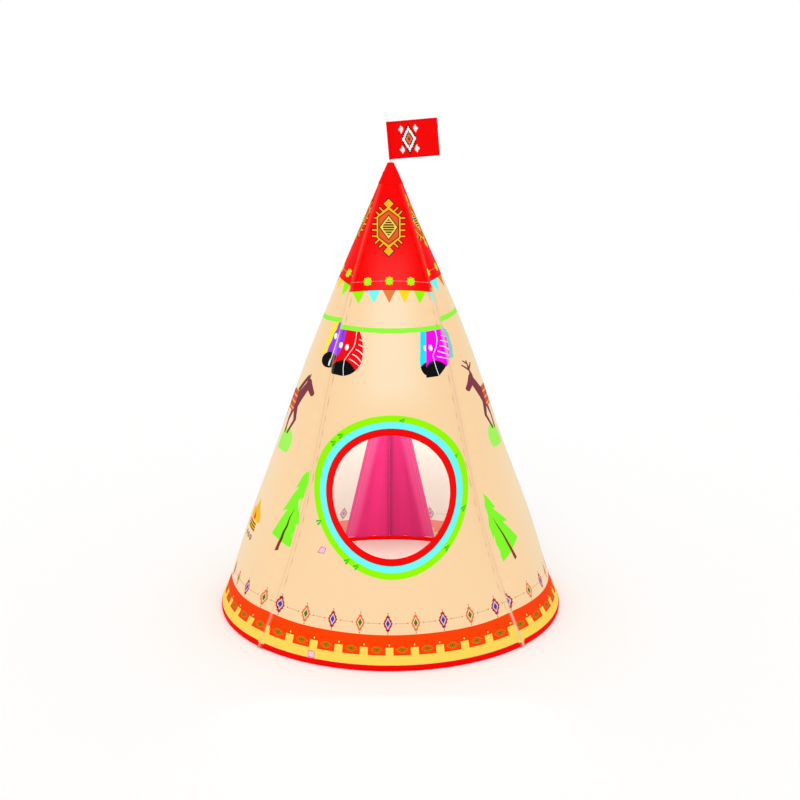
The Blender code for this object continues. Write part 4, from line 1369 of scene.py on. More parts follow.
def front_grid(across=72, up=60, rings=26, rows=52):
    """Side distances and heights of the front panel: rings that grow from the window's oval to
    the panel's border, and even rows from there to the tip."""
    window, cover = settings().window, settings().cover
    low, top = wall_bottom(), wall_top()
    split = 2 * window.centre_height - low
    spread = np.linspace(-1, 1, across + 1)
    climb = np.linspace(low, split, up + 1)
    edge = edge_side(climb)
    border_side = np.concatenate([spread * edge[0], edge[1:], (-spread * edge[-1])[1:], -edge[::-1][1:-1]])
    border_height = np.concatenate([np.full(across + 1, low), climb[1:], np.full(across, split),
                                    climb[::-1][1:-1]])
    grow = cover.cloth + 2 * window.tape
    wide, tall = window.width / 2 + grow, window.height / 2 + grow
    angle = np.arctan2((border_height - window.centre_height) / tall, border_side / wide)
    part = np.linspace(0, 1, rings + 1)[:, None]
    side = (1 - part) * wide * np.cos(angle) + part * border_side
    height = (1 - part) * (window.centre_height + tall * np.sin(angle)) + part * border_height
    upper = np.linspace(split, top, rows + 1)[:, None]
    upper_points = stack(spread * edge_side(upper), upper)
    ring_faces = grid_faces(rings + 1, len(angle), wrap=True)[:, ::-1]
    upper_faces = grid_faces(rows + 1, across + 1) + side.size
    return merged(np.concatenate([stack(side, height).reshape(-1, 2), upper_points.reshape(-1, 2)]),
                  np.concatenate([ring_faces, upper_faces]))


def side_grid(across=84, rows=150):
    """Side distances and heights of a whole panel in even rows."""
    height = np.linspace(wall_bottom(), wall_top(), rows + 1)[:, None]
    points = stack(np.linspace(-1, 1, across + 1) * edge_side(height), height)
    return points.reshape(-1, 2), grid_faces(rows + 1, across + 1)


def rear_grid(across=44, rows=160):
    """Side distances and heights of the rear panel: two halves from the doorway's edge, or from
    the middle above its point, out to the seams."""
    door, cover = settings().door, settings().cover
    grow = cover.cloth + 2 * settings().window.tape
    tip = door.height + grow / math.sin(door_spread())
    low_rows = round(rows * (tip - wall_bottom()) / (wall_top() - wall_bottom()))
    climb = np.concatenate([np.linspace(wall_bottom(), tip, low_rows + 1)[:-1],
                            np.linspace(tip, wall_top(), rows - low_rows + 1)])[:, None]
    inner = door_half_width(climb, grow)
    right = stack(inner + (edge_side(climb) - inner) * np.linspace(0, 1, across + 1), climb).reshape(-1, 2)
    faces = grid_faces(rows + 1, across + 1)
    return merged(np.concatenate([right, right * (-1, 1)]),
                  np.concatenate([faces, faces[:, ::-1] + len(right)]))


def build_walls():
    """Each panel is the cover's surface moved out along its normals by folds and by the flare."""
    cover, low, top = settings().cover, wall_bottom(), wall_top()
    width = float(2 * edge_angle(np.array([low]))[0] * pole_seam(low))
    slant = math.hypot(top - low, pole_seam(low) - pole_seam(top))
    window_reach, door_reach, next_fold = 0.03, 0.04, 0.37
    grids = {"front": front_grid(), "right": side_grid(), "rear": rear_grid(), "left": side_grid()}
    for k, place in enumerate(panel_names):
        flat, faces = grids[place]
        side, height = flat.T
        rear = place == "rear"
        edge = edge_side(height)
        fold = wrinkle(side * (1 if k % 2 else -1), height, edge, next_fold * k) + flare(height)
        if place == "front":
            fold *= clear_of_window(side, height, window_reach)
        if rear:
            fold *= clear_of_door(side, height, door_reach)
        points = panel_points(side, height, rear)
        area = face_area(points, faces)
        points = points + panel_normals(side, height, rear) * fold[:, None]
        made = cloth_piece(f"cover_{place}", turned(points, k), faces, cover.cloth)
        dress(made, panel_material(place), "printed_cloth", f"wall_{place}")
        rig.sheet(made, flat=(width, slant), held="stretched", area=area,
                 rests_on=[f"pole_{corner_names[k]}_middle", f"pole_{corner_names[k - 1]}_middle"])


def cloth_run(*coordinates):
    """Length of a line of points, from its coordinates."""
    return float(np.hypot(*(np.diff(line.ravel()) for line in coordinates)).sum())


def build_sleeves():
    """The sleeve is a tube about the pole, and the tape over it is the highest of the panels'
    surface, a round ridge over the pole and a ball over the foot, blended."""
    cover = settings().cover
    low, top = 1.25 * cover.hem_height, cup_low.z - cover.cup_thickness - cover.sleeve_radius
    height = np.linspace(low, top, 150)[:, None, None]
    lean = leg_slope(height)
    across = (corner_out - lean * upward) / np.hypot(1, lean)
    angle = around(24)[:, None]
    slack = 0.02
    radius = cover.sleeve_radius - cover.cloth / 2
    radius = radius * (1 + slack * np.sin(height * 190 + 2 * np.sin(height * 31)))
    ring = across * np.cos(angle) + corner_aside * np.sin(angle)
    tube = leg_reach(height) * corner_out + height * upward + ring * radius
    tube_faces = grid_faces(*tube.shape[:2], wrap=True)
    height = np.linspace(cover.hem_height * 0.25, wall_top(), 280)[:, None]
    seam = pole_seam(height)
    ridge = cover.sleeve_radius + cover.tape_cloth
    half = ridge + cover.tape_flange
    fan = np.linspace(-1, 1, 29) * half
    reach = panel_reach(height, corner - np.abs(fan / seam))
    lift = (cover.cloth + cover.tape_cloth) / 2 + cover.gap
    aside = reach * np.sin(fan / seam)
    flat = reach * np.cos(fan / seam) + lift + flare(height)
    bulge = np.sqrt(np.maximum(ridge ** 2 - aside ** 2, 0.0)) * np.hypot(1, leg_slope(height))
    pucker_depth, soft = 0.00025, 0.0012
    pucker = pucker_depth * np.sin(height * 260 + 3 * np.sin(height * 17))
    ball = (cover.foot_radius + cover.tape_cloth) ** 2 - aside ** 2 - (height - cover.hem_height / 2) ** 2
    ball = np.where(ball > 0, hoop_reach() + np.sqrt(np.maximum(ball, 0.0)), 0.0)
    depth = blended(soft, flat, leg_reach(height) + bulge + pucker, ball)
    tape = depth[..., None] * corner_out + aside[..., None] * corner_aside
    tape[..., 2] = height
    tape_faces = grid_faces(*depth.shape)
    marks = stack(fan, height, 0.0)
    run = cloth_run(height, seam)
    sleeve_cloth = plain_material("sleeve_cloth", settings().colours.reverse, 0.75)
    for k, place in enumerate(corner_names):
        made = cloth_piece(f"sleeve_{place}", turned(tube, k), tube_faces, cover.cloth * 0.8)
        dress(made, sleeve_cloth, "printed_cloth", f"pole_sleeve_{place}")
        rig.sheet(made, flat=(whole * cover.sleeve_radius, run), held="stretched",
                 rests_on=[f"pole_{place}_lower", f"pole_{place}_middle", f"pole_{place}_upper"])
        strip = cloth_piece(f"seam_tape_{place}", turned(tape, k), tape_faces, cover.tape_cloth, marks=marks)
        dress(strip, tape_material(k, place), "printed_cloth")
        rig.sheet(strip, flat=(2 * half, run), held="stretched", rests_on=[f"sleeve_{place}"])


def build_cup():
    """The cup is a straight cone from the panels' outline to a small round top, blended with a
    ridge over each of the hub's sockets, and closed by a flat ring round the staff."""
    cover, flag = settings().cover, settings().flag
    shoulder = cover.cone_height - cover.cup_rounding
    skirt, bend, lid = 44, 6, 5
    rim = cup_low.z - cover.cloth
    angle = around(144)
    local = (angle + corner) % quarter - corner
    height = np.append(np.linspace(rim, shoulder, skirt), np.full(bend + lid, shoulder))[:, None]
    swing = np.concatenate([np.zeros(skirt), np.linspace(0, quarter, bend + 1)[1:], np.full(lid, quarter)])
    swing = swing[:, None]
    close = np.append(np.zeros(skirt + bend), np.linspace(0, 1, lid + 1)[1:])[:, None]
    part = (height - rim) / (shoulder - rim)
    outline = panel_reach(rim, local)
    low = outline.min() + cover.cup_stand
    cone = (low + (cover.cup_top - low) * part) * (1 + (outline / outline.min() - 1) * (1 - part))
    leg, off = leg_reach(height), corner - np.abs(local)
    ridge = cover.socket_radius + cover.cup_thickness + 2 * cover.gap
    bulge = np.sqrt(np.maximum(ridge ** 2 - (leg * np.sin(off)) ** 2, 0.0)) * np.hypot(1, leg_slope(height))
    fall = 1.5 * np.maximum(height - cover.cone_height + cover.socket_drop, 0.0)
    reach = blended(0.0008, cone, leg * np.cos(off) + bulge - fall) - cover.cup_rounding * (1 - np.cos(swing))
    hole = flag.staff_diameter / 2 / math.cos(flag.staff_tilt) + cover.gap
    hole += cover.cup_thickness * math.tan(flag.staff_tilt)
    reach = reach * (1 - close) + hole * close
    rise = height + cover.cup_rounding * np.sin(swing)
    points = round_axis(reach, angle, rise).reshape(-1, 3)
    faces = grid_faces(*reach.shape, wrap=True)
    middle = points - point_normals(points, faces) * cover.cup_thickness / 2
    marks = stack(reach * local, rise - rim, reach)
    made = cloth_piece("tip_cloth", middle, faces, cover.cup_thickness, marks=marks)
    red = plain_material("red_cup_cloth", settings().colours.red, 0.68, stitched=0.004, bold=0.2)
    dress(made, red, "red_cloth", "tip_cup")
    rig.sheet(made, flat=(whole * float(reach[0].mean()), 0.075), held="stretched", rests_on=["apex_hub"],
             area=face_area(middle, faces))


def section(steps, power):
    """A closed rounded section: a unit circle squared off by a power, counter-clockwise."""
    turns = np.array([np.cos(around(steps)), np.sin(around(steps))])
    return np.sign(turns) * np.abs(turns) ** power


def build_hem():
    """Each hem is a squared tube of cloth along the hoop, drawn in where it meets the feet."""
    cover, ring = settings().cover, hoop_reach()
    foot_share, drawn_in, drawn_run, squared, uneven = 0.93, 0.18, 0.012, 0.55, 0.03
    end = corner - cover.foot_radius * foot_share / ring
    angle = np.linspace(-end, end, 150)[:, None]
    wide, tall = section(30, squared) * (1 - cover.tape_cloth / cover.hem_width)
    swell = 1 - drawn_in + drawn_in * smooth((end - np.abs(angle)) / drawn_run)
    pucker = 1 + uneven * np.sin(angle * 92 + 2 * np.sin(angle * 13))
    out = ring + wide * cover.hem_width / 2 * swell * pucker
    rise = cover.hem_height / 2 * (1 + tall * swell)
    points = round_axis(out, angle, rise)
    marks = stack(angle * ring, rise, out - ring)
    faces = grid_faces(*out.shape, wrap=True)[:, ::-1]
    area = face_area(points, faces)
    red = plain_material("red_hem_cloth", settings().colours.red, 0.66, stitched=cover.hem_height * 0.86)
    for k, place in enumerate(panel_names):
        made = cloth_piece(f"hem_{place}", turned(points, k), faces, cover.tape_cloth, marks=marks)
        dress(made, red, "red_cloth", f"hem_channel_{place}")
        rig.sheet(made, flat=(area / (2 * end * ring), 2 * end * ring), held="stretched",
                 rests_on=[f"hoop_rod_{place}"])


def folded_tape(width, wrap):
    """Distances in from an edge and off the cloth, for a tape folded round the cloth's edge."""
    cover = settings().cover
    half = cover.cloth / 2 + wrap / 2 + cover.gap / 2
    steps, belly = 8, 0.15
    flat = np.linspace(width - wrap / 2, half, steps)
    angle = np.linspace(quarter, 3 * quarter, steps + 1)[1:-1]
    rise = half * (1 + belly * np.sin(np.linspace(0, np.pi, steps)))
    grow = np.concatenate([flat, half + half * np.cos(angle), flat[::-1]])
    lift = np.concatenate([rise, half * np.sin(angle), -rise[::-1]])
    return grow[:, None], lift[:, None]


def bound_edge(name, side, height, grow, lift, run, closed, rear=False):
    """Tape along an opening's outline: each point of its section, carried along the outline."""
    points = panel_points(side, height, rear) + panel_normals(side, height, rear) * lift[..., None]
    points = turned(points, 2 if rear else 0)
    marks = stack(run, grow - grow.max() / 2, lift)
    faces = grid_faces(*side.shape, wrap=closed)
    made = cloth_piece(name, points, faces, settings().window.tape, marks=marks)
    outline = float(np.ptp(run))
    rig.sheet(made, flat=(face_area(points, faces) / outline, outline), held="stretched",
             rests_on=["cover_rear" if rear else "cover_front"])
    return made


def build_bindings():
    """Both openings are bound with a tape folded over the cloth's edge and stitched."""
    window, door, colours = settings().window, settings().door, settings().colours
    grow, lift = folded_tape(window.binding, window.tape)
    angle = around(240)
    side = (window.width / 2 + grow) * np.cos(angle)
    height = window.centre_height + (window.height / 2 + grow) * np.sin(angle)
    run = angle * (window.width + window.height + 2 * window.binding) / 4
    puffs, puff_depth = 60, 0.04
    puff = lift * (1 + puff_depth * np.sin(angle * puffs))
    made = bound_edge("window_edge", side, height, grow, puff, run, True)
    red = plain_material("red_binding_cloth", colours.red, 0.62, window.binding * 0.36, window.binding * 0.44)
    dress(made, red, "red_cloth", "window_binding")
    grow, lift = folded_tape(door.binding, window.tape)
    part = np.linspace(-1, 1, 201)
    tip = door.height + grow / math.sin(door_spread())
    height = wall_bottom() + (1 - np.abs(part)) * (tip - wall_bottom())
    side = np.sign(part) * (tip - height) * math.tan(door_spread())
    run = part * math.hypot(door.width / 2, door.height)
    made = bound_edge("door_edge", side, height, grow, lift, run, False, True)
    pink = plain_material("pink_binding_cloth", colours.pink_light, 0.62, stitched=door.binding * 0.30)
    dress(made, pink, "pink_cloth", "door_binding")


def curtain_corners(side):
    """A curtain's sewn and free edges, low and high, and its outward direction, at the rear."""
    door = settings().door
    low = wall_bottom() + door.floor_gap
    high = low + (door.height - low) * door.top_share
    sewn_depth = depth_at(door.width / 2, wall_bottom())
    free_depth = depth_at(0.0, wall_bottom())

    def edges(height):
        sewn = float(door_half_width(height, door.lap)), door_line(sewn_depth, height), height
        free = door.part / 2 - door.draw, door_line(free_depth, height), height
        return np.array(sewn) * (side, 1, 1), np.array(free) * (side, 1, 1)

    sewn_low, free_low = edges(low)
    sewn_high, free_high = edges(high)
    out = np.cross(free_low - sewn_low, sewn_high - sewn_low)
    out = out / np.linalg.norm(out) * math.copysign(1, out[1])
    return sewn_low, free_low, sewn_high, free_high, out


def curtain_material(name, shade):
    """Thin pink cloth, deeper in the folds and where the curtains meet, and light at its sewn edge."""
    inks = settings().colours
    graph = Graph(name, 0.62)
    across, along, fold = graph.split(graph.mark("cloth", "Vector"))
    spot = graph.place()
    # The right curtain's pink is a dimmer copy as painted shade; the darker pink below is painted shade in folds and
    # where the curtains meet, and a random mottle
    pink = dimmed(inks.pink, shade)
    shade_and_mottle_pink = dimmed(pink, 0.62)
    # Painted shade in the folds
    shown = graph.mix(~graph.ease(fold, -1.2, 0.6) * 0.25, pink, shade_and_mottle_pink)
    # Painted highlight near the sewn edge, weaker on the right curtain
    shown = graph.mix(~graph.ease(across, 0.020, 0.042) * (2 * shade - 1), shown, inks.pink_light)
    # Painted shade where the two curtains meet
    shown = graph.mix(~graph.ease(abs(graph.split(spot)[0]), 0.001, 0.016) * 0.9, shown, shade_and_mottle_pink)
    hem_width, thread = 0.0095, 0.0006
    hem = sewn(abs(across - hem_width) < thread, along)
    shown = graph.mix(hem * 0.5, shown, inks.blush)
    shown = graph.mix(graph.noise(spot, 30.0, 3.0) * 0.12, shown, shade_and_mottle_pink)
    return graph.surface(shown, cloth_bumps(graph, 5.0) + hem * 1.4, 0.28, 0.0004)


def build_curtains():
    """Each curtain is a plane from its sewn edge to its free edge, with sine pleats that fan out
    from the doorway's point."""
    door, cover = settings().door, settings().cover
    stand = door.binding_thickness / 2 + cover.gap + door.curtain / 2
    row = np.linspace(0, 1, 90)[:, None, None]
    column = np.linspace(0, 1, 130)[:, None]
    wave = np.sin(np.pi * door.pleats * column) * np.minimum(column * door.pleats, 1.0)
    fine = 0.12 * np.sin(np.pi * 3.1 * door.pleats * column + 5 * row) * wave ** 2
    crease = 0.08 * np.sin(row * 19 + column * 9) * np.sin(np.pi * column)
    fold = wave + fine + crease * (1 - row)
    for name, side in (("left", -1), ("right", 1)):
        sewn_low, free_low, sewn_high, free_high, out = curtain_corners(side)
        start = sewn_low + (sewn_high - sewn_low) * row
        run = free_low + (free_high - free_low) * row - start
        width = np.linalg.norm(run, axis=-1, keepdims=True)
        fan = width / np.linalg.norm(free_low - sewn_low)
        points = start + run * column + out * (stand + door.pleat_depth * fan * fold)
        marks = stack(column * width, row * door.height, fold)
        faces = grid_faces(row.size, column.size)
        if side < 0:
            faces = faces[:, ::-1]
        area = face_area(points, faces)
        made = cloth_piece(f"curtain_{name}_cloth", points, faces, door.curtain, f"curtain_{name}", marks)
        # Painted shade: the right curtain gets a dimmer pink than the left
        material = curtain_material(f"pink_curtain_{name}", 1.0 if side < 0 else 0.84)
        dress(made, material, "pink_cloth", f"door_curtain_{name}")
        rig.sheet(made, flat=(0.175, 0.66), held="gathered", area=min(area, 0.115), rests_on=["door_edge"])


def build_ties():
    """Each tie is a folded strip that lies on the cloth beside the doorway, and its toggle is a
    turned peg with a waist."""
    door, cover = settings().door, settings().cover
    lift = (cover.cloth + door.tie_cloth) / 2 + cover.gap
    height = door.tie_height - door.tie_length * (1 - np.linspace(0, 1, 40)[:, None])
    across = door.tie_width * np.linspace(-0.5, 0.5, 11)
    off = door_half_width(height, door.binding + door.tie_setback) + across
    level = height + 0 * off
    points = turned(panel_points(off, level, True) + panel_normals(off, level, True) * lift, 2)
    marks = stack(height, across, 0.0)
    faces = grid_faces(*off.shape)
    cloth = plain_material("pink_tie_cloth", settings().colours.pink, 0.62, stitched=door.tie_width * 0.36)
    wood = toggle_material()
    for name, side in (("left", -1), ("right", 1)):
        made = cloth_piece(f"tie_{name}", points * (-side, 1, 1), faces if side < 0 else faces[:, ::-1],
                           door.tie_cloth, marks=marks)
        dress(made, cloth, "pink_cloth", f"curtain_tie_{name}")
        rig.sheet(made, flat=(door.tie_width, door.tie_length), held="hung", rests_on=["cover_rear"])
        build_toggle(name, frame["nodes"][f"toggle_{name}"], wood)


def build_toggle(name, node, wood):
    """A peg turned about the line through its packed solid's two end faces."""
    door = settings().door
    spots = np.zeros(len(node.data.vertices) * 3)
    node.data.vertices.foreach_get("co", spots)
    spots = spots.reshape(-1, 3)
    centre = (spots.min(0) + spots.max(0)) / 2
    along = np.linalg.svd(spots - spots.mean(0))[2][0]
    side = np.cross(along, upward)
    side /= np.linalg.norm(side)
    part = np.linspace(0, np.pi, 40)[:, None, None]
    reach = -np.cos(part) * door.toggle_length / 2
    waist_share, waist_run = 0.16, 0.0022
    radius = door.toggle_diameter / 2 * np.sin(part) ** 0.42
    radius = radius * (1 - waist_share * np.exp(-(reach / waist_run) ** 2))
    angle = around(32)[:, None]
    ring = side * np.cos(angle) + np.cross(along, side) * np.sin(angle)
    points = centre + reach * along + radius * ring
    made = piece_from(f"peg_{name}", *merged(points, grid_faces(*points.shape[:2], wrap=True)))
    dress(made, wood, "toggle_wood", f"toggle_{name}")


def toggle_material():
    """Beech with a long grain."""
    inks = settings().colours
    graph = Graph("toggle_wood", 0.50, coat=0.15)
    grain = graph.streaks((40.0, 400.0, 400.0), 4.0)
    shown = graph.mix(graph.ease(grain, 0.40, 0.62), inks.wood, inks.wood_dark)
    return graph.surface(shown, grain, 0.25, 0.0002)


def build_floor():
    """The floor cloth is a disc in even rings, notched round the feet, with low creases."""
    inks = settings().colours
    floor_low, floor_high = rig.box("floor_sheet")
    rim_gap, notch_depth, notch_half_width, notch_slope = 0.0002, 0.012, 0.0095, 0.006
    edge = floor_high.x - rim_gap
    angle = around(288)
    away = np.abs(angle % quarter - corner) * hoop_reach()
    rim = edge - notch_depth * (1 - smooth((away - notch_half_width) / notch_slope))
    part = np.linspace(0, 1, 60)[:, None] ** 0.9
    reach = part * rim
    x, y = reach * np.sin(angle), -reach * np.cos(angle)
    crease_depth = 0.0007
    crease = np.sin(x * 31 + np.sin(y * 19) * 1.5) * np.sin(y * 27 + x * 11) * crease_depth + crease_depth
    thick = floor_high.z - floor_low.z
    points = stack(x, y, thick / 2 + crease * smooth((1 - part) / 0.08))
    made = cloth_piece("ground_cloth", *merged(points, grid_faces(*reach.shape, wrap=True)), thick * 0.96)
    graph = Graph("floor_cloth", 0.80)
    shown = graph.mix(graph.noise(graph.place(), 9.0, 3.0) * 0.6, inks.reverse, inks.pale)
    dress(made, graph.surface(shown, cloth_bumps(graph, 9.0), 0.3, 0.0004), "cream_cloth", "floor_sheet")
    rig.sheet(made, flat=(2 * edge, 2 * edge), held="laid", area=math.pi * edge ** 2, rests_on=["hem_front"])


def flag_material():
    """Red flag with a stitched hoist and a plain woven emblem in four inks."""
    inks, flag = settings().colours, settings().flag
    graph = Graph("flag_cloth", 0.62)
    along, rise, _ = graph.split(graph.mark("cloth", "Vector"))
    cloudy = graph.noise(graph.place(), 30.0, 3.0) * 0.2
    paint = Paint(graph, graph.mix(cloudy, inks.red, dimmed(inks.red, 0.86)))
    wide, tall = flag.fly * 0.165, flag.hoist * 0.41
    cell = wide / 9
    u, v = (graph.math("FLOOR", abs(away) / cell + 0.5) * cell
            for away in (along - flag.fly * 0.40, rise - flag.hoist * 0.50))
    for size, colour in ((1.0, inks.black), (0.84, inks.white), (0.54, inks.maroon), (0.40, inks.coral),
                         (0.16, inks.black)):
        paint.over(rhombus(u, v, wide * size, tall * size) < 0.0, colour)
    wings = rhombus(abs(u - wide * 0.86), abs(v - tall * 0.66), wide * 0.30, tall * 0.26)
    paint.over(wings < 0.0, inks.white)
    half, edge, thread = flag.hoist / 2, 0.0035, 0.0005
    rows = (abs(along - 0.0125) < thread) | (abs(abs(rise - half) - half + edge) < thread)
    stitch = sewn(rows, along + rise, 0.0040)
    paint.over(stitch, dimmed(inks.red, 0.55))
    return graph.surface(paint.colour, cloth_bumps(graph, 2.0) + stitch * 1.5, 0.28, 0.0004)


def build_flag():
    """The flag is a hoist tube and a fly that waves as a growing sine; the staff is a rod with a
    round end. Both are set in the leaning staff's frame."""
    flag, cover = settings().flag, settings().cover
    lean = Matrix.Translation((0, 0, cover.cone_height)) @ Matrix.Rotation(-flag.staff_tilt, 4, "Y")

    def placed(points, matrix):
        matrix = np.array(matrix)
        return points.reshape(-1, 3) @ matrix[:3, :3].T + matrix[:3, 3]

    radius = flag.staff_diameter / 2
    tube = radius + cover.gap + flag.cloth / 2
    rise = np.linspace(flag.lift, flag.lift + flag.hoist, 44)[:, None]
    mouth = 0.35
    swing = np.linspace(mouth, whole - mouth, 22)
    last = flag.fly - tube
    run = np.linspace(tube * 1.05, last, 96)
    part = (run - tube) / (last - tube)
    second, slant = 0.14, 0.0006
    wave = flag.ripple * (np.sin(whole * part) + second * np.sin(np.pi * 3 * part)) * part
    wave = wave + slant * np.sin(rise * 60 + part * 9) * part
    loop = stack(tube * np.cos(swing), tube * np.sin(swing), rise)
    fly = stack(run, wave, rise)
    marks = [stack(along, rise - flag.lift, 0.0).reshape(-1, 3) for along in (np.abs(loop[0, :, 0]), run)]
    row = np.arange(len(rise) - 1)
    loop_size = loop[..., 0].size
    start = loop_size + row * run.size
    link = stack((row + 1) * swing.size, start + run.size, start, row * swing.size)
    faces = np.concatenate([grid_faces(*loop.shape[:2]), grid_faces(*fly.shape[:2]) + loop_size, link])
    points = placed(np.concatenate([loop.reshape(-1, 3), fly.reshape(-1, 3)]),
                    lean @ Matrix.Rotation(flag.swing, 4, "Z"))
    made = cloth_piece("flag_cloth", points, faces, flag.cloth, "flag", np.concatenate(marks))
    dress(made, flag_material(), "red_cloth", "flag")
    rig.sheet(made, flat=(flag.fly + whole * tube, flag.hoist), held="hung", rests_on=["staff"])
    end = np.linspace(0, quarter, 8)[1:, None]
    neck = flag.staff_reach - radius
    shaft = np.concatenate([[[-flag.staff_seat]], np.linspace(-flag.staff_seat, neck, 12)[:, None],
                            neck + radius * np.sin(end)])
    thick = np.concatenate([[[0.0]], np.full((12, 1), radius), radius * np.cos(end)])
    angle = around(24)
    rod, faces = merged(placed(stack(thick * np.cos(angle), thick * np.sin(angle), shaft), lean),
                        grid_faces(shaft.size, angle.size, wrap=True))
    staff = piece_from("staff", rod, faces, sharp=70)
    dress(staff, plastic_material("staff_plastic"), "white_plastic", "flag_staff")


def plastic_material(name):
    """Moulded plastic with a fine grain."""
    inks = settings().colours
    graph = Graph(name, 0.42)
    spot = graph.place()
    shown = graph.mix(graph.noise(spot, 30.0) * 0.5, inks.plastic, dimmed(inks.plastic, 0.90))
    return graph.surface(shown, graph.noise(spot, 900.0), 0.12, 0.0002)


def rod_material():
    """Drawn fibreglass with strands along it."""
    inks = settings().colours
    graph = Graph("fibreglass", 0.45, coat=0.1)
    strands = graph.streaks((900.0, 900.0, 30.0), 3.0)
    shown = graph.mix(strands * 0.7, inks.fibreglass, dimmed(inks.fibreglass, 0.80))
    return graph.surface(shown, strands, 0.2, 0.0002)


def steel_material():
    """Plated tube with fine scratches."""
    inks = settings().colours
    graph = Graph("plated_steel", 0.30, metallic=1.0)
    scratches = graph.streaks((60.0, 60.0, 900.0), 3.0)
    rough = graph.ease(scratches, 0.2, 0.9) * 0.25 + 0.22
    shown = graph.mix(scratches * 0.4, inks.steel, dimmed(inks.steel, 0.8))
    return graph.surface(shown, scratches, 0.1, 0.0001, rough)


def build_feet():
    """Each foot is a ball cut flat by the floor, with a lipped collar up the pole."""
    cover = settings().cover
    radius, centre_height = cover.foot_radius, cover.hem_height / 2
    place = corner_out * hoop_reach() + upward * centre_height
    part, angle = np.linspace(0, np.pi, 26)[:, None], around(36)
    ball = radius * stack(np.sin(part) * np.cos(angle), np.sin(part) * np.sin(angle), np.cos(part))
    ball[..., 2] = np.maximum(ball[..., 2], -centre_height)
    ball_points, ball_faces = merged(place + ball, grid_faces(*ball.shape[:2], wrap=True)[:, ::-1])
    stem = np.array([centre_height + 0.001, 1.25 * cover.hem_height + 0.006])
    way = np.diff(leg_reach(stem)) * corner_out + np.diff(stem) * upward
    way = way / np.linalg.norm(way)
    along = np.array([0.001, 0.009, 0.0095, 0.0100, 0.0112, 0.0118, 0.0118, 0.001])[:, None, None]
    thick = np.array([0.0052, 0.0052, 0.0056, 0.0061, 0.0061, 0.0056, 0.0043, 0.0043])[:, None, None]
    swing = around(32)[:, None]
    rings = np.cross(corner_aside, way) * np.cos(swing) + corner_aside * np.sin(swing)
    collar = place + along * way + thick * rings
    here = np.arange(swing.size)
    there, inner = (here + 1) % swing.size, (along.size - 1) * swing.size
    closed = np.concatenate([grid_faces(along.size, swing.size, wrap=True),
                             stack(here + inner, there + inner, there, here)])
    points = np.concatenate([ball_points, collar.reshape(-1, 3)])
    faces = np.concatenate([ball_faces, closed + len(ball_points)])
    plastic = plastic_material("foot_plastic")
    for k, name in enumerate(corner_names):
        made = piece_from(f"knuckle_{name}", turned(points, k), faces, sharp=40)
        dress(made, plastic, "white_plastic", f"foot_{name}")


def finish_nodes():
    """Materials for the packed nodes that still show."""
    rods = (rod_material(), "fibreglass")
    looks = {"pole": rods, "hoop": rods, "ferrule": (steel_material(), "plated_steel"),
             "apex": (plastic_material("hub_plastic"), "white_plastic")}
    for name, node in frame["nodes"].items():
        if node.hide_render:
            continue
        material, slot = looks[name.split("_")[0]]
        node.data.materials.clear()
        node.data.materials.append(material)
        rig.slot(node, slot)


def stage_material():
    """A white floor that keeps the shadow and shows at full white to the camera."""
    graph = Graph("stage_floor", 0.95)
    seen, glow, bounced, shown = graph.rays("Camera"), 0.03, 0.78, 0.945
    graph.shader.inputs["Emission Strength"].default_value = 1.0
    graph.feed(graph.shader.inputs["Emission Color"], graph.mix(seen, (0.0,) * 3, (glow,) * 3))
    return graph.surface(graph.mix(seen, (bounced,) * 3, (shown,) * 3))


def build_world():
    """Even light from all round, with a pure white background."""
    world = bpy.data.worlds.new("studio")
    bpy.context.scene.world = world
    world.use_nodes = True
    nodes = Nodes(world.node_tree)
    background = world.node_tree.nodes["Background"].inputs
    seen = nodes.rays("Camera", "Glossy", "Transmission")
    nodes.feed(background["Color"], nodes.mix(seen, (settings().stage.ambient,) * 3, (1.0,) * 3))
    background["Strength"].default_value = 1.0


def lamp(kind, name, power, size, spot, target):
    """A soft lamp that no camera or glossy ray sees."""
    light = bpy.data.lights.new(name, kind)
    light.energy = power
    if kind == "SUN":
        light.angle = size
    else:
        light.shape, light.size = "DISK", size
    made = bpy.data.objects.new(name, light)
    bpy.context.scene.collection.objects.link(made)
    made.location = spot
    made.rotation_euler = (Vector(target) - Vector(spot)).to_track_quat("-Z", "Y").to_euler()
    made.visible_camera = made.visible_glossy = False


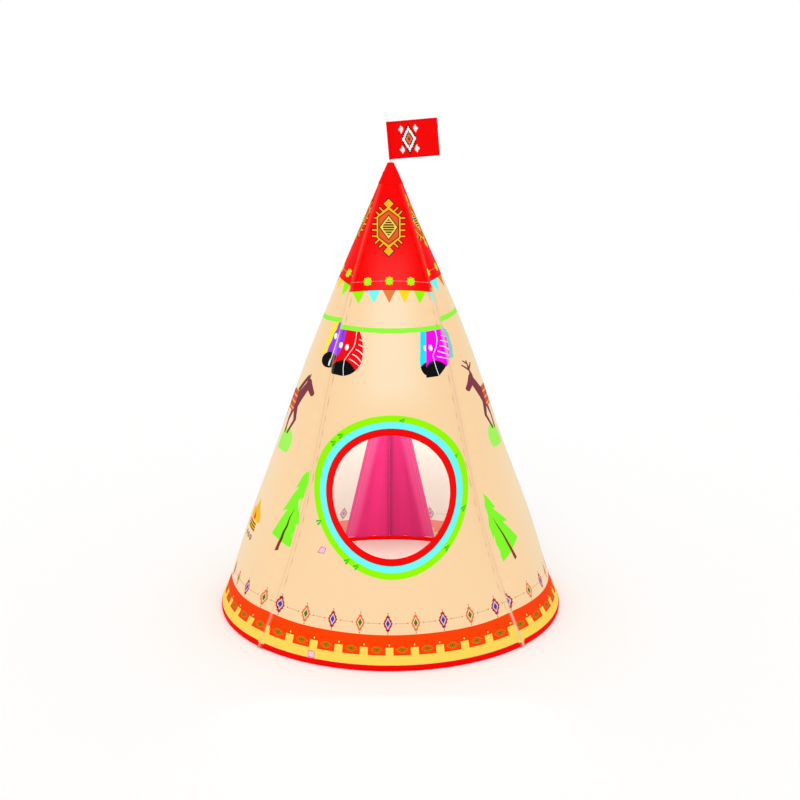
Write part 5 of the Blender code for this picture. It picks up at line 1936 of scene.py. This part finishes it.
def build_stage():
    """A flat floor, the world, two lamps, and the camera turned by its yaw, pitch and roll."""
    stage = settings().stage
    half = stage.floor_size / 2
    mesh = bpy.data.meshes.new("stage_floor")
    low = -stage.floor_drop
    mesh.from_pydata([(-half, -half, low), (half, -half, low), (half, half, low), (-half, half, low)], [],
                     [(0, 1, 2, 3)])
    mesh.materials.append(stage_material())
    floor = bpy.data.objects.new("stage_floor", mesh)
    bpy.context.scene.collection.objects.link(floor)
    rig.stage(floor)
    build_world()
    lamp("SUN", "key_lamp", stage.key, size=0.7, spot=(-0.4, -2.6, 3.4), target=(0, 0, 0.5))
    lamp("AREA", "inner_lamp", stage.inner_power, size=0.12, spot=(0.0, -0.03, 0.72), target=(0, 0.30, 0.10))
    camera = bpy.data.cameras.new("camera")
    camera.lens = stage.lens
    camera.sensor_width = 36.0
    made = bpy.data.objects.new("camera", camera)
    bpy.context.scene.collection.objects.link(made)
    bpy.context.scene.camera = made
    yaw, pitch, roll = stage.camera_yaw, stage.camera_pitch, stage.camera_roll
    ahead = Vector((-math.sin(yaw) * math.cos(pitch), math.cos(yaw) * math.cos(pitch), -math.sin(pitch)))
    level = Vector((math.cos(yaw), math.sin(yaw), 0.0))
    upright = level.cross(ahead)
    right = level * math.cos(roll) + upright * math.sin(roll)
    above = upright * math.cos(roll) - level * math.sin(roll)
    spot = Matrix.Translation((stage.camera_side, -stage.camera_back, stage.camera_height))
    made.matrix_world = spot @ Matrix((right, above, -ahead)).transposed().to_4x4()
    bpy.context.scene.view_settings.view_transform = "Standard"


# Operators


class TeepeeStep(bpy.types.Operator):
    """Adds one group of pieces"""
    bl_options = {"REGISTER", "UNDO"}
    build = None

    def execute(self, context):
        type(self).build()
        return {"FINISHED"}


def step(name, label, note, build):
    """The operator class of one step."""
    return type(f"TEEPEE_OT_{name}", (TeepeeStep,), {"__doc__": note, "bl_idname": f"teepee.{name}",
                                                      "bl_label": label, "build": staticmethod(build)})


OPERATORS = tuple(step(*one) for one in (
    ("stage", "Stage", "Add the floor, the light and the camera", build_stage),
    ("walls", "Walls", "Add the four printed panels", build_walls),
    ("sleeves", "Sleeves", "Add the pole sleeves and the tape over each seam", build_sleeves),
    ("cup", "Tip cup", "Add the red cup at the tip", build_cup),
    ("hem", "Hem", "Add the red hem", build_hem),
    ("bindings", "Bindings", "Add the bound edges of the window and the doorway", build_bindings),
    ("curtains", "Curtains", "Add the two curtains", build_curtains),
    ("ties", "Ties", "Add the ties and their toggles", build_ties),
    ("floor", "Floor cloth", "Add the floor cloth", build_floor),
    ("flag", "Flag", "Add the flag and its staff", build_flag),
    ("feet", "Feet", "Add the feet", build_feet),
    ("nodes", "Frame finish", "Give the packed poles, ferrules, hoop and hub their materials", finish_nodes)))


class TEEPEE_PT_steps(bpy.types.Panel):
    """The teepee's pieces, in the order in which they are added"""
    bl_idname = "TEEPEE_PT_steps"
    bl_label = "Kids Teepee"
    bl_space_type = "VIEW_3D"
    bl_region_type = "UI"
    bl_category = "Teepee"

    def draw(self, context):
        for step in OPERATORS:
            self.layout.operator(step.bl_idname, text=step.bl_label)


GROUPS = (TeepeeCover, TeepeeWindow, TeepeeDoor, TeepeeFlag, TeepeePrint, TeepeeColours, TeepeeStage,
          TeepeeSettings)


def register():
    for group in (*GROUPS, *OPERATORS, TEEPEE_PT_steps):
        bpy.utils.register_class(group)
    bpy.types.Scene.teepee = bpy.props.PointerProperty(type=TeepeeSettings)


def unregister():
    del bpy.types.Scene.teepee
    for group in reversed((*GROUPS, *OPERATORS, TEEPEE_PT_steps)):
        bpy.utils.unregister_class(group)


def main():
    """Adds every piece in order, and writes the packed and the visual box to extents.json."""
    register()
    bpy.ops.teepee.stage()
    bpy.ops.teepee.walls()
    bpy.ops.teepee.sleeves()
    bpy.ops.teepee.cup()
    bpy.ops.teepee.hem()
    bpy.ops.teepee.bindings()
    bpy.ops.teepee.curtains()
    bpy.ops.teepee.ties()
    bpy.ops.teepee.floor()
    bpy.ops.teepee.flag()
    bpy.ops.teepee.feet()
    bpy.ops.teepee.nodes()
    sizes = {"cad": [list(spot) for spot in cad_box], "visual": [list(spot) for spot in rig.bounds()]}
    with open("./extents.json", "w") as out:
        json.dump(sizes, out, indent=1)


if __name__ == "__main__":
    main()
